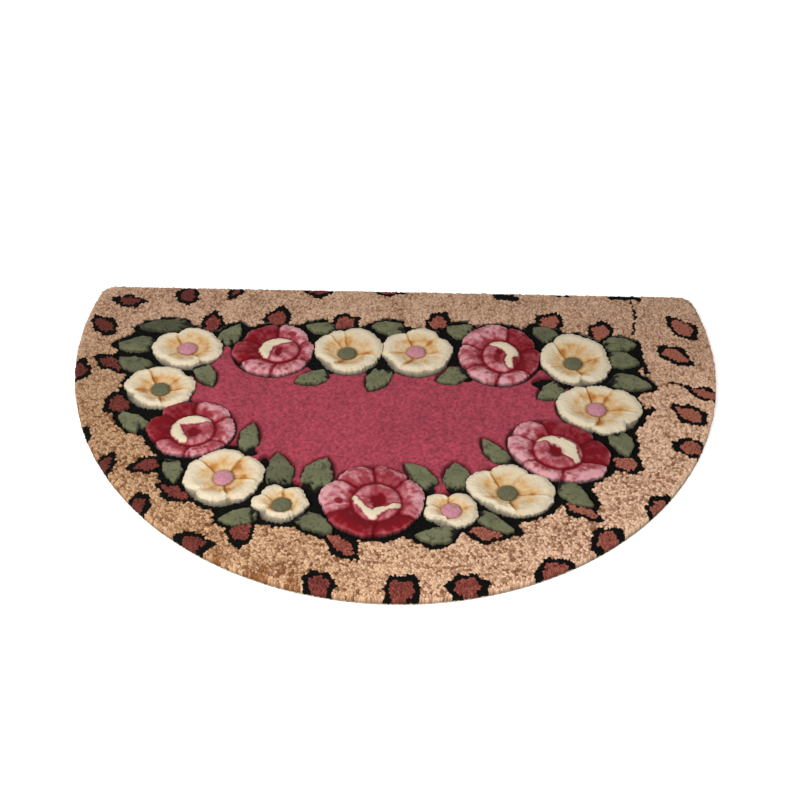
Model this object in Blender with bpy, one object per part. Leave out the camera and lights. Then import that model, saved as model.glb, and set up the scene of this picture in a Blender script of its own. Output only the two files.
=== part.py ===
"""Half-round tufted doormat with carved flowers.

The mat lies flat on its backing cloth, with +Z up. The origin is on the floor under the middle of
the mat, +X runs along the straight back edge and +Y points to that edge. On the backing stand the
blocks of pile, each of its own yarn and height: the tan ground round the outside, low black pile in
the wreath, the raspberry field in the middle, and the carved flowers, roses and leaves.
"""

import math
from collections import namedtuple

import bmesh
import bpy
from mathutils import Vector

MM = 0.001

# Plan of the mat, in metres
WIDTH = 0.900
DEPTH = 0.600
FRONT_REACH = 0.482
CORNER_RADIUS = 0.022
PILE_INSET = 0.001
FRONT_STEPS = 56
CORNER_STEPS = 5

# Heights above the floor, in metres
BACKING_TOP = 0.0020
CLEARANCE = 0.0003
PILE_FOOT = BACKING_TOP + CLEARANCE
BLACK_TOP = 0.0078
FIELD_TOP = 0.0108
GROUND_TOP = 0.0123
LEAF_TOP = 0.0135
POCKET_FLOOR = 0.0085
EYE_SHOULDER = 0.0135
EYE_CROWN = 0.0152
EYE_TOP = 0.0158

# Widths of the grooves and margins in the plan, in metres
MOTIF_GROOVE = 0.0004
FIELD_GROOVE = 0.0012
BLACK_MARGIN = 0.0105
FIELD_BACK = 0.024
WREATH_OUT = 0.040
RIM_ROUND = 0.0040
RIM_STEPS = 2
LEAF_ROUND = 0.0028
MITER_LIMIT = 1.5

# Radii and divisions of the round motifs
LARGE_EYE = 0.0130
SMALL_EYE = 0.0125
POCKET_CLEARANCE = 0.0012
ROSE_CUP = 0.0290
EYE_SIDES = 12
EYE_CROWN_SHARE = 0.72
MARGIN_STRIDE = 2

# How far a cutter reaches past the pile that it cuts, and how much taller each next block in it is
CUTTER_REACH = 0.004
CUTTER_STEP = 0.00007

# Limits used in cleaning and measuring meshes: metres, radians, the height of an upright face's normal
WELD = 0.00001
FLAT_ANGLE = 0.0005
UPRIGHT = 0.5
BISECTIONS = 40

YARN_ROUGHNESS = 0.95
SHARP_ANGLE = math.radians(50)

Yarn = namedtuple("Yarn", "red green blue")
BACKING = Yarn(0.62, 0.55, 0.44)
TAN = Yarn(0.46, 0.27, 0.15)
BLACK = Yarn(0.012, 0.014, 0.008)
RASPBERRY = Yarn(0.34, 0.052, 0.078)
CREAM = Yarn(0.68, 0.52, 0.30)
CRIMSON = Yarn(0.30, 0.045, 0.060)
SAGE = Yarn(0.12, 0.125, 0.068)
PINK = Yarn(0.48, 0.20, 0.22)
GREEN = Yarn(0.10, 0.10, 0.055)

# Round motifs, in millimetres and degrees: the ellipse of the outline, its tilt, the middle of the
# eye or cup, and the directions of the grooves between petals as seen from that middle
Bloom = namedtuple("Bloom", "x y across deep tilt heart_x heart_y grooves")
LARGE_FLOWERS = (
    (Bloom(-294.5, 154, 95, 90, 0, -294, 152, (43, 124, 217, 302)), PINK),
    (Bloom(-321, 68, 92, 86, 0, -319, 63, (43, 118, 195, 283, 358)), GREEN),
    (Bloom(-67, 154.5, 91, 99, 0, -69, 148, (97, 125, 236, 352)), GREEN),
    (Bloom(30, 152.5, 95, 99, 0, 28, 154, (44, 110, 190, 245, 352)), PINK),
    (Bloom(252.5, 144, 95, 109, 6, 248, 135, (20, 70, 122, 200, 288)), GREEN),
    (Bloom(274, 39, 112, 92, -12, 271, 38, (55, 104, 200, 262, 352)), PINK),
    (Bloom(-217, -105, 97, 97, 0, -215, -106, (55, 138, 223, 285, 355)), PINK),
    (Bloom(150.5, -120, 105, 85, -16, 143, -124, (62, 124, 196, 284, 355)), GREEN),
)
SMALL_FLOWERS = (
    (Bloom(-140, -149, 64, 62, 0, -138, -152, (88, 148, 200, 318)), GREEN),
    (Bloom(74, -155.5, 63, 58, 0, 72, -157, (15, 100, 170, 245)), PINK),
)
ROSES = (
    Bloom(-173, 154, 113, 113, 0, -167, 149, (30, 92, 155, 205, 262, 335)),
    Bloom(-266.5, -14.5, 113, 106, 0, -264, -17, (30, 92, 150, 207, 262, 330)),
    Bloom(145, 151.5, 114, 131, 0, 146, 144, (24, 78, 150, 207, 262, 320)),
    Bloom(214.5, -44, 138, 107, -28, 212, -48, (28, 107, 150, 203, 272, 340)),
    Bloom(-26.5, -141.5, 127, 121, 0, -22, -138, (42, 95, 147, 205, 268, 325)),
)

# Leaves, in millimetres: the blunt end, the point and the width
Leaf = namedtuple("Leaf", "base_x base_y tip_x tip_y width")
LEAVES = (
    Leaf(-306, 209, -370, 200, 26),
    Leaf(-347, 161, -394, 163, 34),
    Leaf(-347, 110, -388, 132, 31),
    Leaf(-270, 113, -250, 75, 28),
    Leaf(-243, 172, -226, 212, 27),
    Leaf(-334, -14, -364, 18, 28),
    Leaf(-192, -50, -186, 1, 26),
    Leaf(-284, -77, -277, -114, 24),
    Leaf(-143, -111, -150, -58, 35),
    Leaf(-102, -115, -86, -64, 38),
    Leaf(-171, -168, -214, -177, 26),
    Leaf(-111, -169, -74, -198, 26),
    Leaf(50, -111, 14, -74, 26),
    Leaf(81, -112, 78, -68, 33),
    Leaf(141, -66, 115, -22, 23),
    Leaf(70, -197, 26, -198, 27),
    Leaf(108, -165, 149, -188, 23),
    Leaf(213, -110, 251, -143, 29),
    Leaf(296, -11, 303, -52, 28),
    Leaf(225, 84.5, 195, 61, 29),
    Leaf(305, 104, 353, 88, 31),
    Leaf(301, 182, 343, 180, 30),
    Leaf(304, 150, 343, 139, 32),
    Leaf(226, 192.5, 196, 217, 27),
    Leaf(104, 202, 74, 214, 32),
    Leaf(8, 205, -36, 214, 30),
    Leaf(-94, 205, -130, 212, 22),
    Leaf(-97, 103, -136, 85, 27),
    Leaf(-18, 111, -35, 71, 30),
    Leaf(92, 111, 57, 94, 31),
)

# One side of a leaf: shares of its length from the blunt end, and of its half width there
LeafSide = namedtuple("LeafSide", "along out")
LEAF_SIDE = (
    LeafSide(0.0, 0.45),
    LeafSide(0.2, 0.90),
    LeafSide(0.5, 1.00),
    LeafSide(0.8, 0.60),
)

# Steps round a petal: the share of the way from groove to groove, and how hollow it is there
PetalStep = namedtuple("PetalStep", "share hollow")
PETAL_STEPS = (
    PetalStep(0.0, 1.0),
    PetalStep(0.10, 0.22),
    PetalStep(0.30, 0.0),
    PetalStep(0.50, 0.0),
    PetalStep(0.70, 0.0),
    PetalStep(0.90, 0.22),
)

# Rings of a carved motif from its foot to its middle. A share of 1 is the outline, 0 the rim of the
# eye or cup and -1 the middle. In the grooves a ring drops by drop and draws in by notch of its radius.
Ring = namedtuple("Ring", "share height drop notch")
FLOWER_RINGS = (
    Ring(-1.0, PILE_FOOT, 0.0, 0.0),
    Ring(1.0, PILE_FOOT, 0.0, 0.0),
    Ring(1.0, 0.0122, 0.0030, 0.09),
    Ring(0.80, 0.0165, 0.0060, 0.05),
    Ring(0.30, 0.0125, 0.0025, 0.0),
    Ring(0.0, 0.0110, 0.0, 0.0),
    Ring(0.0, POCKET_FLOOR, 0.0, 0.0),
    Ring(-1.0, POCKET_FLOOR, 0.0, 0.0),
)
ROSE_RINGS = (
    Ring(-1.0, PILE_FOOT, 0.0, 0.0),
    Ring(1.0, PILE_FOOT, 0.0, 0.0),
    Ring(1.0, 0.0120, 0.0030, 0.08),
    Ring(0.74, 0.0162, 0.0060, 0.04),
    Ring(0.32, 0.0132, 0.0030, 0.0),
    Ring(0.08, 0.0095, 0.0, 0.0),
    Ring(-0.10, 0.0160, 0.0, 0.0),
    Ring(-0.38, 0.0172, 0.0, 0.0),
    Ring(-0.68, 0.0120, 0.0, 0.0),
    Ring(-1.0, 0.0105, 0.0, 0.0),
)


def clear_scene():
    """Remove every object that the scene starts with."""
    for thing in list(bpy.data.objects):
        bpy.data.objects.remove(thing, do_unlink=True)


def new_collection(name):
    """A collection in the scene."""
    group = bpy.data.collections.new(name)
    bpy.context.scene.collection.children.link(group)
    return group


def yarn_material(name, yarn):
    """Dull cut yarn of one colour."""
    material = bpy.data.materials.new(name)
    material.use_nodes = True
    surface = material.node_tree.nodes["Principled BSDF"]
    surface.inputs["Base Color"].default_value = (yarn.red, yarn.green, yarn.blue, 1.0)
    surface.inputs["Roughness"].default_value = YARN_ROUGHNESS
    surface.inputs["Metallic"].default_value = 0.0
    material.diffuse_color = (yarn.red, yarn.green, yarn.blue, 1.0)
    return material


def front_point(turn, inward):
    """A point on the elliptical front, moved in along its normal."""
    half = WIDTH / 2
    widest = DEPTH / 2 - (DEPTH - FRONT_REACH)
    on_edge = Vector((half * math.cos(turn), widest + FRONT_REACH * math.sin(turn)))
    outward = Vector((FRONT_REACH * math.cos(turn), half * math.sin(turn))).normalized()
    return on_edge - inward * outward


def corner_turn():
    """The turn at which the front runs into the round corner, found by halving."""
    low, high = 0.0, math.pi / 2
    for _ in range(BISECTIONS):
        middle = (low + high) / 2
        if front_point(middle, CORNER_RADIUS).y < DEPTH / 2 - CORNER_RADIUS:
            low = middle
        else:
            high = middle
    return low


def mat_outline(inset=0.0):
    """The half-round plan moved in by inset: the front, the left corner and the right corner."""
    start = corner_turn()
    centre = front_point(start, CORNER_RADIUS)
    lean = math.atan2(WIDTH / 2 * math.sin(start), FRONT_REACH * math.cos(start))
    radius = CORNER_RADIUS - inset
    sweep = math.pi + 2 * start
    outline = [front_point(start - sweep * step / FRONT_STEPS, inset) for step in range(FRONT_STEPS + 1)]
    turns = [lean + (math.pi / 2 - lean) * step / CORNER_STEPS for step in range(1, CORNER_STEPS + 1)]
    right = [centre + radius * Vector((math.cos(turn), math.sin(turn))) for turn in turns]
    left = [Vector((-point.x, point.y)) for point in right]
    return outline + left + right[::-1]


def signed_area(outline):
    """Area of a plan outline, above zero where it runs anticlockwise."""
    pairs = zip(outline, outline[1:] + outline[:1])
    return sum(here.x * there.y - there.x * here.y for here, there in pairs) / 2


def grown(outline, distance):
    """The outline moved out by distance, with pointed corners kept short."""
    side = 1.0 if signed_area(outline) > 0 else -1.0
    moved = []
    for index, point in enumerate(outline):
        before = (point - outline[index - 1]).normalized()
        after = (outline[(index + 1) % len(outline)] - point).normalized()
        first = Vector((before.y, -before.x)) * side
        second = Vector((after.y, -after.x)) * side
        miter = (first + second) / (1 + first.dot(second))
        if miter.length > MITER_LIMIT:
            miter = miter.normalized() * MITER_LIMIT
        moved.append(point + miter * distance)
    return moved


def petal_turns(bloom):
    """Directions round a bloom in radians, each with how hollow the petals are there."""
    turns = []
    for index, groove in enumerate(bloom.grooves):
        following = bloom.grooves[(index + 1) % len(bloom.grooves)]
        petal = (following - groove) % 360
        turns += [(math.radians(groove + petal * step.share), step.hollow) for step in PETAL_STEPS]
    return turns


def edge_distance(bloom, turn):
    """How far the outline is from the heart of a bloom in one direction, in metres."""
    tilt = math.radians(bloom.tilt)
    along = Vector((math.cos(tilt), math.sin(tilt))) * 2 / (bloom.across * MM)
    over = Vector((-math.sin(tilt), math.cos(tilt))) * 2 / (bloom.deep * MM)
    offset = Vector((bloom.heart_x - bloom.x, bloom.heart_y - bloom.y)) * MM
    heading = Vector((math.cos(turn), math.sin(turn)))
    start = Vector((along.dot(offset), over.dot(offset)))
    step = Vector((along.dot(heading), over.dot(heading)))
    half = start.dot(step)
    root = math.sqrt(half**2 + step.length_squared * (1 - start.length_squared))
    return (root - half) / step.length_squared


def bloom_outline(bloom, stride=1):
    """Plan outline of a round motif, a point at each step or each few steps round its petals."""
    heart = Vector((bloom.heart_x, bloom.heart_y)) * MM
    return [
        heart + edge_distance(bloom, turn) * Vector((math.cos(turn), math.sin(turn)))
        for turn, _ in petal_turns(bloom)[::stride]
    ]


def leaf_outline(leaf):
    """Plan outline of a leaf, round its point from one side to the other."""
    base = Vector((leaf.base_x, leaf.base_y)) * MM
    tip = Vector((leaf.tip_x, leaf.tip_y)) * MM
    length = tip - base
    across = Vector((-length.y, length.x)).normalized() * leaf.width / 2 * MM
    right = [base + length * side.along - across * side.out for side in LEAF_SIDE]
    left = [base + length * side.along + across * side.out for side in LEAF_SIDE]
    return right + [tip] + left[::-1]


def ring_line(blooms):
    """The line that runs round the wreath from bloom to bloom."""
    centres = [Vector((bloom.x, bloom.y)) * MM for bloom in blooms]
    centres.sort(key=lambda centre: math.atan2(centre.y, centre.x))
    return centres


def object_from_bmesh(name, shape, collection):
    """Write a bmesh to a new object with its faces pointing out."""
    bmesh.ops.recalc_face_normals(shape, faces=shape.faces)
    if shape.calc_volume(signed=True) < 0:
        bmesh.ops.reverse_faces(shape, faces=shape.faces)
    mesh = bpy.data.meshes.new(name)
    shape.to_mesh(mesh)
    shape.free()
    thing = bpy.data.objects.new(name, mesh)
    collection.objects.link(thing)
    return thing


def slab(name, outline, bottom, top, collection):
    """A flat block with the given plan: a filled curve, extruded by half its thickness each way."""
    curve = bpy.data.curves.new(name, "CURVE")
    curve.dimensions = "2D"
    curve.fill_mode = "BOTH"
    curve.extrude = (top - bottom) / 2
    spline = curve.splines.new("POLY")
    spline.points.add(len(outline) - 1)
    for point, place in zip(spline.points, outline):
        point.co = (place.x, place.y, 0.0, 1.0)
    spline.use_cyclic_u = True
    drawn = bpy.data.objects.new(name, curve)
    drawn.location.z = (top + bottom) / 2
    collection.objects.link(drawn)
    bpy.context.view_layer.update()
    evaluated = drawn.evaluated_get(bpy.context.evaluated_depsgraph_get())
    shape = bmesh.new()
    filled = bpy.data.meshes.new_from_object(evaluated)
    shape.from_mesh(filled)
    bpy.data.meshes.remove(filled)
    bmesh.ops.remove_doubles(shape, verts=shape.verts, dist=WELD)
    place = drawn.matrix_world.copy()
    bpy.data.objects.remove(drawn, do_unlink=True)
    bpy.data.curves.remove(curve)
    thing = object_from_bmesh(name, shape, collection)
    thing.matrix_world = place
    return thing


def joined_cutter(name, outlines, collection):
    """One cutter of many upright blocks, each a little taller than the last so that no tops coincide."""
    shape = bmesh.new()
    for index, outline in enumerate(outlines):
        reach = CUTTER_REACH + index * CUTTER_STEP
        block = slab(name, outline, PILE_FOOT - reach, GROUND_TOP + reach, collection)
        bpy.context.view_layer.update()
        block.data.transform(block.matrix_world)
        shape.from_mesh(block.data)
        bpy.data.objects.remove(block, do_unlink=True)
    cutter = object_from_bmesh(name, shape, collection)
    cutter.hide_render = True
    cutter.display_type = "WIRE"
    return cutter


def combine(thing, cutter, operation):
    """Cut or intersect a block with a cutter and keep the result as its mesh."""
    modifier = thing.modifiers.new(operation.lower(), "BOOLEAN")
    modifier.operation = operation
    modifier.solver = "EXACT"
    modifier.use_self = True
    modifier.object = cutter
    bpy.context.view_layer.update()
    evaluated = thing.evaluated_get(bpy.context.evaluated_depsgraph_get())
    result = bpy.data.meshes.new_from_object(evaluated)
    thing.modifiers.remove(modifier)
    thing.data = result
    bpy.data.objects.remove(cutter, do_unlink=True)


def keep_largest_body(thing):
    """Drop crumbs of pile that the cuts have left standing by themselves, and merge what lies flat."""
    shape = bmesh.new()
    shape.from_mesh(thing.data)
    bmesh.ops.dissolve_degenerate(shape, dist=WELD, edges=shape.edges)
    bmesh.ops.dissolve_limit(
        shape, angle_limit=FLAT_ANGLE, use_dissolve_boundaries=False, verts=shape.verts, edges=shape.edges
    )
    waiting = set(shape.verts)
    bodies = []
    while waiting:
        body = set()
        front = [waiting.pop()]
        while front:
            vert = front.pop()
            body.add(vert)
            for edge in vert.link_edges:
                other = edge.other_vert(vert)
                if other in waiting:
                    waiting.remove(other)
                    front.append(other)
        bodies.append(body)
    bodies.sort(key=len)
    crumbs = [vert for body in bodies[:-1] for vert in body]
    bmesh.ops.delete(shape, geom=crumbs, context="VERTS")
    shape.to_mesh(thing.data)
    shape.free()


def round_top_rim(thing, width, steps):
    """Bevel the edges round the top face of a block."""
    shape = bmesh.new()
    shape.from_mesh(thing.data)
    top = max(vert.co.z for vert in shape.verts)
    rim = [
        edge
        for edge in shape.edges
        if all(abs(vert.co.z - top) < WELD for vert in edge.verts)
        and any(abs(face.normal.z) < UPRIGHT for face in edge.link_faces)
    ]
    bmesh.ops.bevel(shape, geom=rim, offset=width, segments=steps, profile=0.5, affect="EDGES")
    shape.to_mesh(thing.data)
    shape.free()


def finish_piece(thing, name, material, smooth=False):
    """Name a piece, give it its yarn and set its shading."""
    thing.name = name
    thing.data.name = name
    thing.data.materials.clear()
    thing.data.materials.append(material)
    if smooth:
        thing.data.shade_smooth()
        thing.data.set_sharp_from_angle(angle=SHARP_ANGLE)


def turned_block(rings, steps):
    """Turn the rings' profile about +Z. A vertex keeps its ring's number; radius 1 is the heart's rim."""
    shape = bmesh.new()
    number = shape.verts.layers.int.new("ring")
    profile = []
    for index, ring in enumerate(rings):
        vert = shape.verts.new((1 + ring.share, 0.0, ring.height))
        vert[number] = index
        profile.append(vert)
    edges = [shape.edges.new(pair) for pair in zip(profile, profile[1:])]
    bmesh.ops.spin(
        shape,
        geom=profile + edges,
        cent=(0, 0, 0),
        axis=(0, 0, 1),
        angle=math.tau,
        steps=steps,
        use_merge=True,
    )
    bmesh.ops.remove_doubles(shape, verts=shape.verts, dist=WELD)
    return shape, number


def carved_bloom(name, bloom, rings, core, collection):
    """A flower or rose: a turned block, stretched to its outline and carved into petals."""
    turns = petal_turns(bloom)
    shape, number = turned_block(rings, len(turns))
    for vert in shape.verts:
        ring = rings[vert[number]]
        radius = math.hypot(vert.co.x, vert.co.y)
        if radius < WELD:
            continue
        step = round(math.atan2(vert.co.y, vert.co.x) / math.tau * len(turns)) % len(turns)
        turn, hollow = turns[step]
        if ring.share > 0:
            reach = core + (edge_distance(bloom, turn) - core) * ring.share
        else:
            reach = core * (1 + ring.share)
        reach *= 1 - ring.notch * hollow
        vert.co = (reach * math.cos(turn), reach * math.sin(turn), ring.height - ring.drop * hollow)
    thing = object_from_bmesh(name, shape, collection)
    thing.location = (bloom.heart_x * MM, bloom.heart_y * MM, 0.0)
    return thing


def eye_button(name, bloom, radius, collection):
    """The button of yarn in the heart of a flower, low and domed."""
    rings = (
        Ring(-1.0, POCKET_FLOOR + CLEARANCE, 0.0, 0.0),
        Ring(0.0, POCKET_FLOOR + CLEARANCE, 0.0, 0.0),
        Ring(0.0, EYE_SHOULDER, 0.0, 0.0),
        Ring(EYE_CROWN_SHARE - 1, EYE_CROWN, 0.0, 0.0),
        Ring(-1.0, EYE_TOP, 0.0, 0.0),
    )
    shape, _ = turned_block(rings, EYE_SIDES)
    bmesh.ops.scale(shape, vec=(radius, radius, 1.0), verts=shape.verts)
    thing = object_from_bmesh(name, shape, collection)
    thing.location = (bloom.heart_x * MM, bloom.heart_y * MM, 0.0)
    return thing


def make_backing(parts):
    """The cloth that all the yarn is tufted into."""
    backing = slab("backing_cloth", mat_outline(), 0.0, BACKING_TOP, parts)
    finish_piece(backing, "backing_cloth", yarn_material("backing weave", BACKING))


def make_ground(parts, cutters, margins, field):
    """The tan pile round the outside, with its outer rim rounded."""
    ground = slab("ground_pile", mat_outline(PILE_INSET), PILE_FOOT, GROUND_TOP, parts)
    round_top_rim(ground, RIM_ROUND, RIM_STEPS)
    hollow = joined_cutter("wreath_hollow", [grown(margin, CLEARANCE) for margin in margins], cutters)
    middle = joined_cutter("middle_hollow", [grown(field, CLEARANCE)], cutters)
    combine(ground, hollow, "DIFFERENCE")
    combine(ground, middle, "DIFFERENCE")
    keep_largest_body(ground)
    finish_piece(ground, "ground_pile", yarn_material("tan yarn", TAN))


def make_wreath(parts, cutters, motifs, margins, field):
    """The low black pile that shows between and outside the flowers and leaves."""
    wreath = slab("wreath_pile", mat_outline(PILE_INSET), PILE_FOOT, BLACK_TOP, parts)
    band = joined_cutter("wreath_band", margins, cutters)
    holes = joined_cutter("motif_holes", [grown(motif, MOTIF_GROOVE) for motif in motifs], cutters)
    middle = joined_cutter("wreath_middle", [grown(field, CLEARANCE)], cutters)
    combine(wreath, band, "INTERSECT")
    combine(wreath, middle, "DIFFERENCE")
    combine(wreath, holes, "DIFFERENCE")
    keep_largest_body(wreath)
    finish_piece(wreath, "wreath_pile", yarn_material("black yarn", BLACK))


def make_field(parts, cutters, motifs, field):
    """The raspberry pile in the middle, with a groove clipped round each motif."""
    middle = slab("field_pile", field, PILE_FOOT, FIELD_TOP, parts)
    grooves = joined_cutter("field_grooves", [grown(motif, FIELD_GROOVE) for motif in motifs], cutters)
    combine(middle, grooves, "DIFFERENCE")
    keep_largest_body(middle)
    finish_piece(middle, "field_pile", yarn_material("raspberry yarn", RASPBERRY))


def make_flowers(parts):
    """Ten cream flowers, each with its button in a pocket."""
    cream = yarn_material("cream yarn", CREAM)
    eye_yarns = {PINK: yarn_material("pink yarn", PINK), GREEN: yarn_material("green yarn", GREEN)}
    sized = [(flower, LARGE_EYE) for flower in LARGE_FLOWERS]
    sized += [(flower, SMALL_EYE) for flower in SMALL_FLOWERS]
    for index, ((bloom, yarn), radius) in enumerate(sized, 1):
        flower = carved_bloom("flower", bloom, FLOWER_RINGS, radius + POCKET_CLEARANCE, parts)
        finish_piece(flower, f"cream_flower_{index}", cream, smooth=True)
        eye = eye_button("eye", bloom, radius, parts)
        finish_piece(eye, f"flower_eye_{index}", eye_yarns[yarn], smooth=True)


def make_roses(parts):
    """Five roses: a ring of outer petals, a groove, and a cup."""
    crimson = yarn_material("crimson yarn", CRIMSON)
    for index, bloom in enumerate(ROSES, 1):
        rose = carved_bloom("rose", bloom, ROSE_RINGS, ROSE_CUP, parts)
        finish_piece(rose, f"rose_{index}", crimson, smooth=True)


def make_leaves(parts):
    """Thirty leaves, flat blocks of pile with clipped edges."""
    sage = yarn_material("sage yarn", SAGE)
    for index, leaf in enumerate(LEAVES, 1):
        block = slab("leaf", leaf_outline(leaf), PILE_FOOT, LEAF_TOP, parts)
        round_top_rim(block, LEAF_ROUND, 1)
        finish_piece(block, f"leaf_{index}", sage)


def main():
    """Build the mat from its backing up."""
    clear_scene()
    parts = new_collection("half_round_doormat")
    cutters = new_collection("cutters")
    blooms = [bloom for bloom, _ in LARGE_FLOWERS + SMALL_FLOWERS] + list(ROSES)
    leaves = [leaf_outline(leaf) for leaf in LEAVES]
    motifs = [bloom_outline(bloom) for bloom in blooms] + leaves
    rough = [bloom_outline(bloom, MARGIN_STRIDE) for bloom in blooms] + leaves
    margins = [grown(outline, BLACK_MARGIN) for outline in rough] + [grown(ring_line(blooms), WREATH_OUT)]
    field = grown(ring_line(blooms), -FIELD_BACK)
    make_backing(parts)
    make_ground(parts, cutters, margins, field)
    make_wreath(parts, cutters, motifs, margins, field)
    make_field(parts, cutters, motifs, field)
    make_flowers(parts)
    make_roses(parts)
    make_leaves(parts)


main()
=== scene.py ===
"""Half-round tufted doormat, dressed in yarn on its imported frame.

Each block of pile in the frame gets its own piece here: cut tufts for the tan ground and the black
wreath, a velvety field, and carved flowers, roses and leaves. The tables of motifs are in millimetres
and degrees, as in the source of the part, and everything else is in metres unless it says otherwise.
"""

import math
from collections import namedtuple

import bpy
import numpy as np
from bpy.props import FloatProperty, FloatVectorProperty, PointerProperty
from mathutils import Matrix, Vector


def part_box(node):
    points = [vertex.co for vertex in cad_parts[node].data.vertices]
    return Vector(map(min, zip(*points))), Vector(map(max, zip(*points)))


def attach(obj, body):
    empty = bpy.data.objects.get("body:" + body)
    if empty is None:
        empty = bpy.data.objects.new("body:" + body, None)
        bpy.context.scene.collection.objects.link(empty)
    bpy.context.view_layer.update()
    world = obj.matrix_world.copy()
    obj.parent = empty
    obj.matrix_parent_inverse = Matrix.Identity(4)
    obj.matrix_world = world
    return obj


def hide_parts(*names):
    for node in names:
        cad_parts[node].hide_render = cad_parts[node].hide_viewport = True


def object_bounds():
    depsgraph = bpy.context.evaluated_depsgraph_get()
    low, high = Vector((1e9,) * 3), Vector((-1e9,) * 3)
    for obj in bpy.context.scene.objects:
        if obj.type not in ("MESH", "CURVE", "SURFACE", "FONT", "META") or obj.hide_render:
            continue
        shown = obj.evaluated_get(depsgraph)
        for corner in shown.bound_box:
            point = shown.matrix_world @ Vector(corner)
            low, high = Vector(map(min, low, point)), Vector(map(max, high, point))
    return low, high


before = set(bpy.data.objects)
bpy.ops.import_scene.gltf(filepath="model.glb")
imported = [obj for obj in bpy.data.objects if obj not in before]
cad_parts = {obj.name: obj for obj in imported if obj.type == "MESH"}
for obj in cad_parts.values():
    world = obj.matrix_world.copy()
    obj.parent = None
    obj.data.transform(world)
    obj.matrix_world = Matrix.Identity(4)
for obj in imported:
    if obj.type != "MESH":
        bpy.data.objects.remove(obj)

bl_info = {
    "name": "Half-round doormat",
    "version": (1, 0, 0),
    "blender": (4, 5, 0),
    "location": "View3D > Sidebar > Doormat",
    "description": "Dresses a half-round tufted doormat in carved yarn",
    "category": "Object",
}

CAD_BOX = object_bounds()
BODY = "root"
MM = 0.001
FAR = 1.0


def rows(kind, *values):
    """A table: each row of values under the column names of its kind."""
    return [kind(*value) for value in values]


# The plan of the mat, worked out from the frame's box and these two sizes
CORNER_RADIUS = 0.022
FRONT_REACH = 0.482
FRONT_STEPS = 160
CORNER_STEPS = 8
BISECTIONS = 40

# Margins in the plan. Motifs farther off than the last two can't matter to a point or to an edge
BLACK_MARGIN = 0.0100
FIELD_BACK = 0.024
WREATH_OUT = 0.038
NARROW_GAP = 0.026
MOTIF_CLEARANCE = 0.0006
MITER_LIMIT = 1.5
LEAST_REACH = 0.004
NEAR_POINT = 0.03
NEAR_EDGE = 0.12

# Unevenness: how much, in millimetres for shapes, the size of the lumps, and what is added to the seed
Lump = namedtuple("Lump", "amount cell seed")
RAGGED_EDGE = rows(Lump, (2.4, 0.0085, 3), (2.0, 0.0042, 4))
SHEARED = rows(Lump, (0.22, 0.0030, 0), (0.16, 0.0018, 1))
LAP_WAVE = rows(Lump, (0.7, 0.006, 8))
BLOT = rows(Lump, (1, 0.007, 6), (0.6, 0.0035, 4))
PATCHY = rows(Lump, (0.20, 0.016, 12))
STROKE_EDGE = rows(Lump, (1.3, 0.0055, 5), (0.9, 0.003, 4))
MOTTLE = rows(Lump, (1, 0.010, 7), (1.1, 0.0052, 8), (0.7, 0.0028, 11))
EYE_TONE = rows(Lump, (1, 0.0022, 4))
LEAF_TONE = rows(Lump, (1, 0.010, 4), (0.5, 0.003, 5))
LEAF_BASE = rows(Lump, (1, 0.006, 7), (0.7, 0.0028, 8))
LEAF_FLECKS = rows(Lump, (1, 0.0024, 9), (0.5, 0.007, 10))
FIELD_NAP = rows(Lump, (0.34, 0.0031, 51), (0.26, 0.0020, 52))
FIELD_SWELL = rows(Lump, (0.4, 0.06, 53))
FIELD_FLECKS = rows(Lump, (0.6, 0.0030, 54), (0.4, 0.0020, 56))
FIELD_SWEEP = rows(Lump, (1, 0.05, 55))
RUST_CLUMPS = rows(Lump, (0.6, 0.030, 27), (0.9, 0.007, 28))
GROUND_SWELL = rows(Lump, (0.5, 0.012, 22))
WIDE_CLUMPS = rows(Lump, (0.14, 0.03, 25))
FINE_CLUMPS = rows(Lump, (0.32, 0.0055, 29))

# Unevenness along an outline: teeth of clipped yarn, then a gentle wave
PETAL_TEETH = rows(Lump, (1.1, 0.0030, 0), (1.7, 0.013, 1))
EYE_TEETH = rows(Lump, (0.80, 0.0026, 0), (0.5, 0.010, 1))
LEAF_TEETH = rows(Lump, (0.80, 0.0026, 0), (1.8, 0.010, 1))

# Streaks that fan out from a heart: how often they change round it and from petal to petal and along a
# petal, their size, and what is added to the seed
Streak = namedtuple("Streak", "turns petals along cell seed")
PLEAT = Streak(8, 3.1, 1.4, 1.0, 9)
CROWN = Streak(2.2, 7.3, 1.5, 0.8, 2)
FLOWER_STREAK = Streak(9, 3.1, 1.6, 1.0, 5)
ROSE_STREAK = Streak(16, 0, 2.0, 1.0, 9)

# Heights of a carved motif along its radius, in millimetres. A share of 1 is the outline, 0 the rim of
# the eye or cup and -1 the middle
Step = namedtuple("Step", "share height")
FLOWER_PROFILE = rows(
    Step, (-0.5, 9.0), (0.0, 10.8), (0.2, 12.0), (0.45, 14.0), (0.68, 15.6), (0.82, 16.2), (0.92, 14.8),
    (1.0, 11.6),
)
BUD_PROFILE = rows(Step, (-0.5, 9.0), (0.0, 11.6), (0.25, 14.8), (0.55, 16.4), (0.8, 15.9), (1.0, 12.4))
ROSE_PROFILE = rows(
    Step, (-1.0, 14.6), (-0.8, 14.8), (-0.6, 15.6), (-0.4, 16.6), (-0.22, 16.8), (-0.1, 15.4), (0.0, 10.8),
    (0.05, 11.8), (0.16, 14.2), (0.45, 15.7), (0.72, 16.2), (0.9, 15.0), (1.0, 12.4),
)
LEAF_PROFILE = rows(Step, (0.0, 13.6), (0.80, 13.5), (0.94, 12.8), (1.0, 11.6))
EYE_PROFILE = rows(Step, (0.0, 15.9), (0.5, 15.5), (0.8, 14.6), (0.95, 13.2), (1.0, 12.2))
PROFILE_SAMPLES = 400
PROFILE_BLUR = 25

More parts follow.
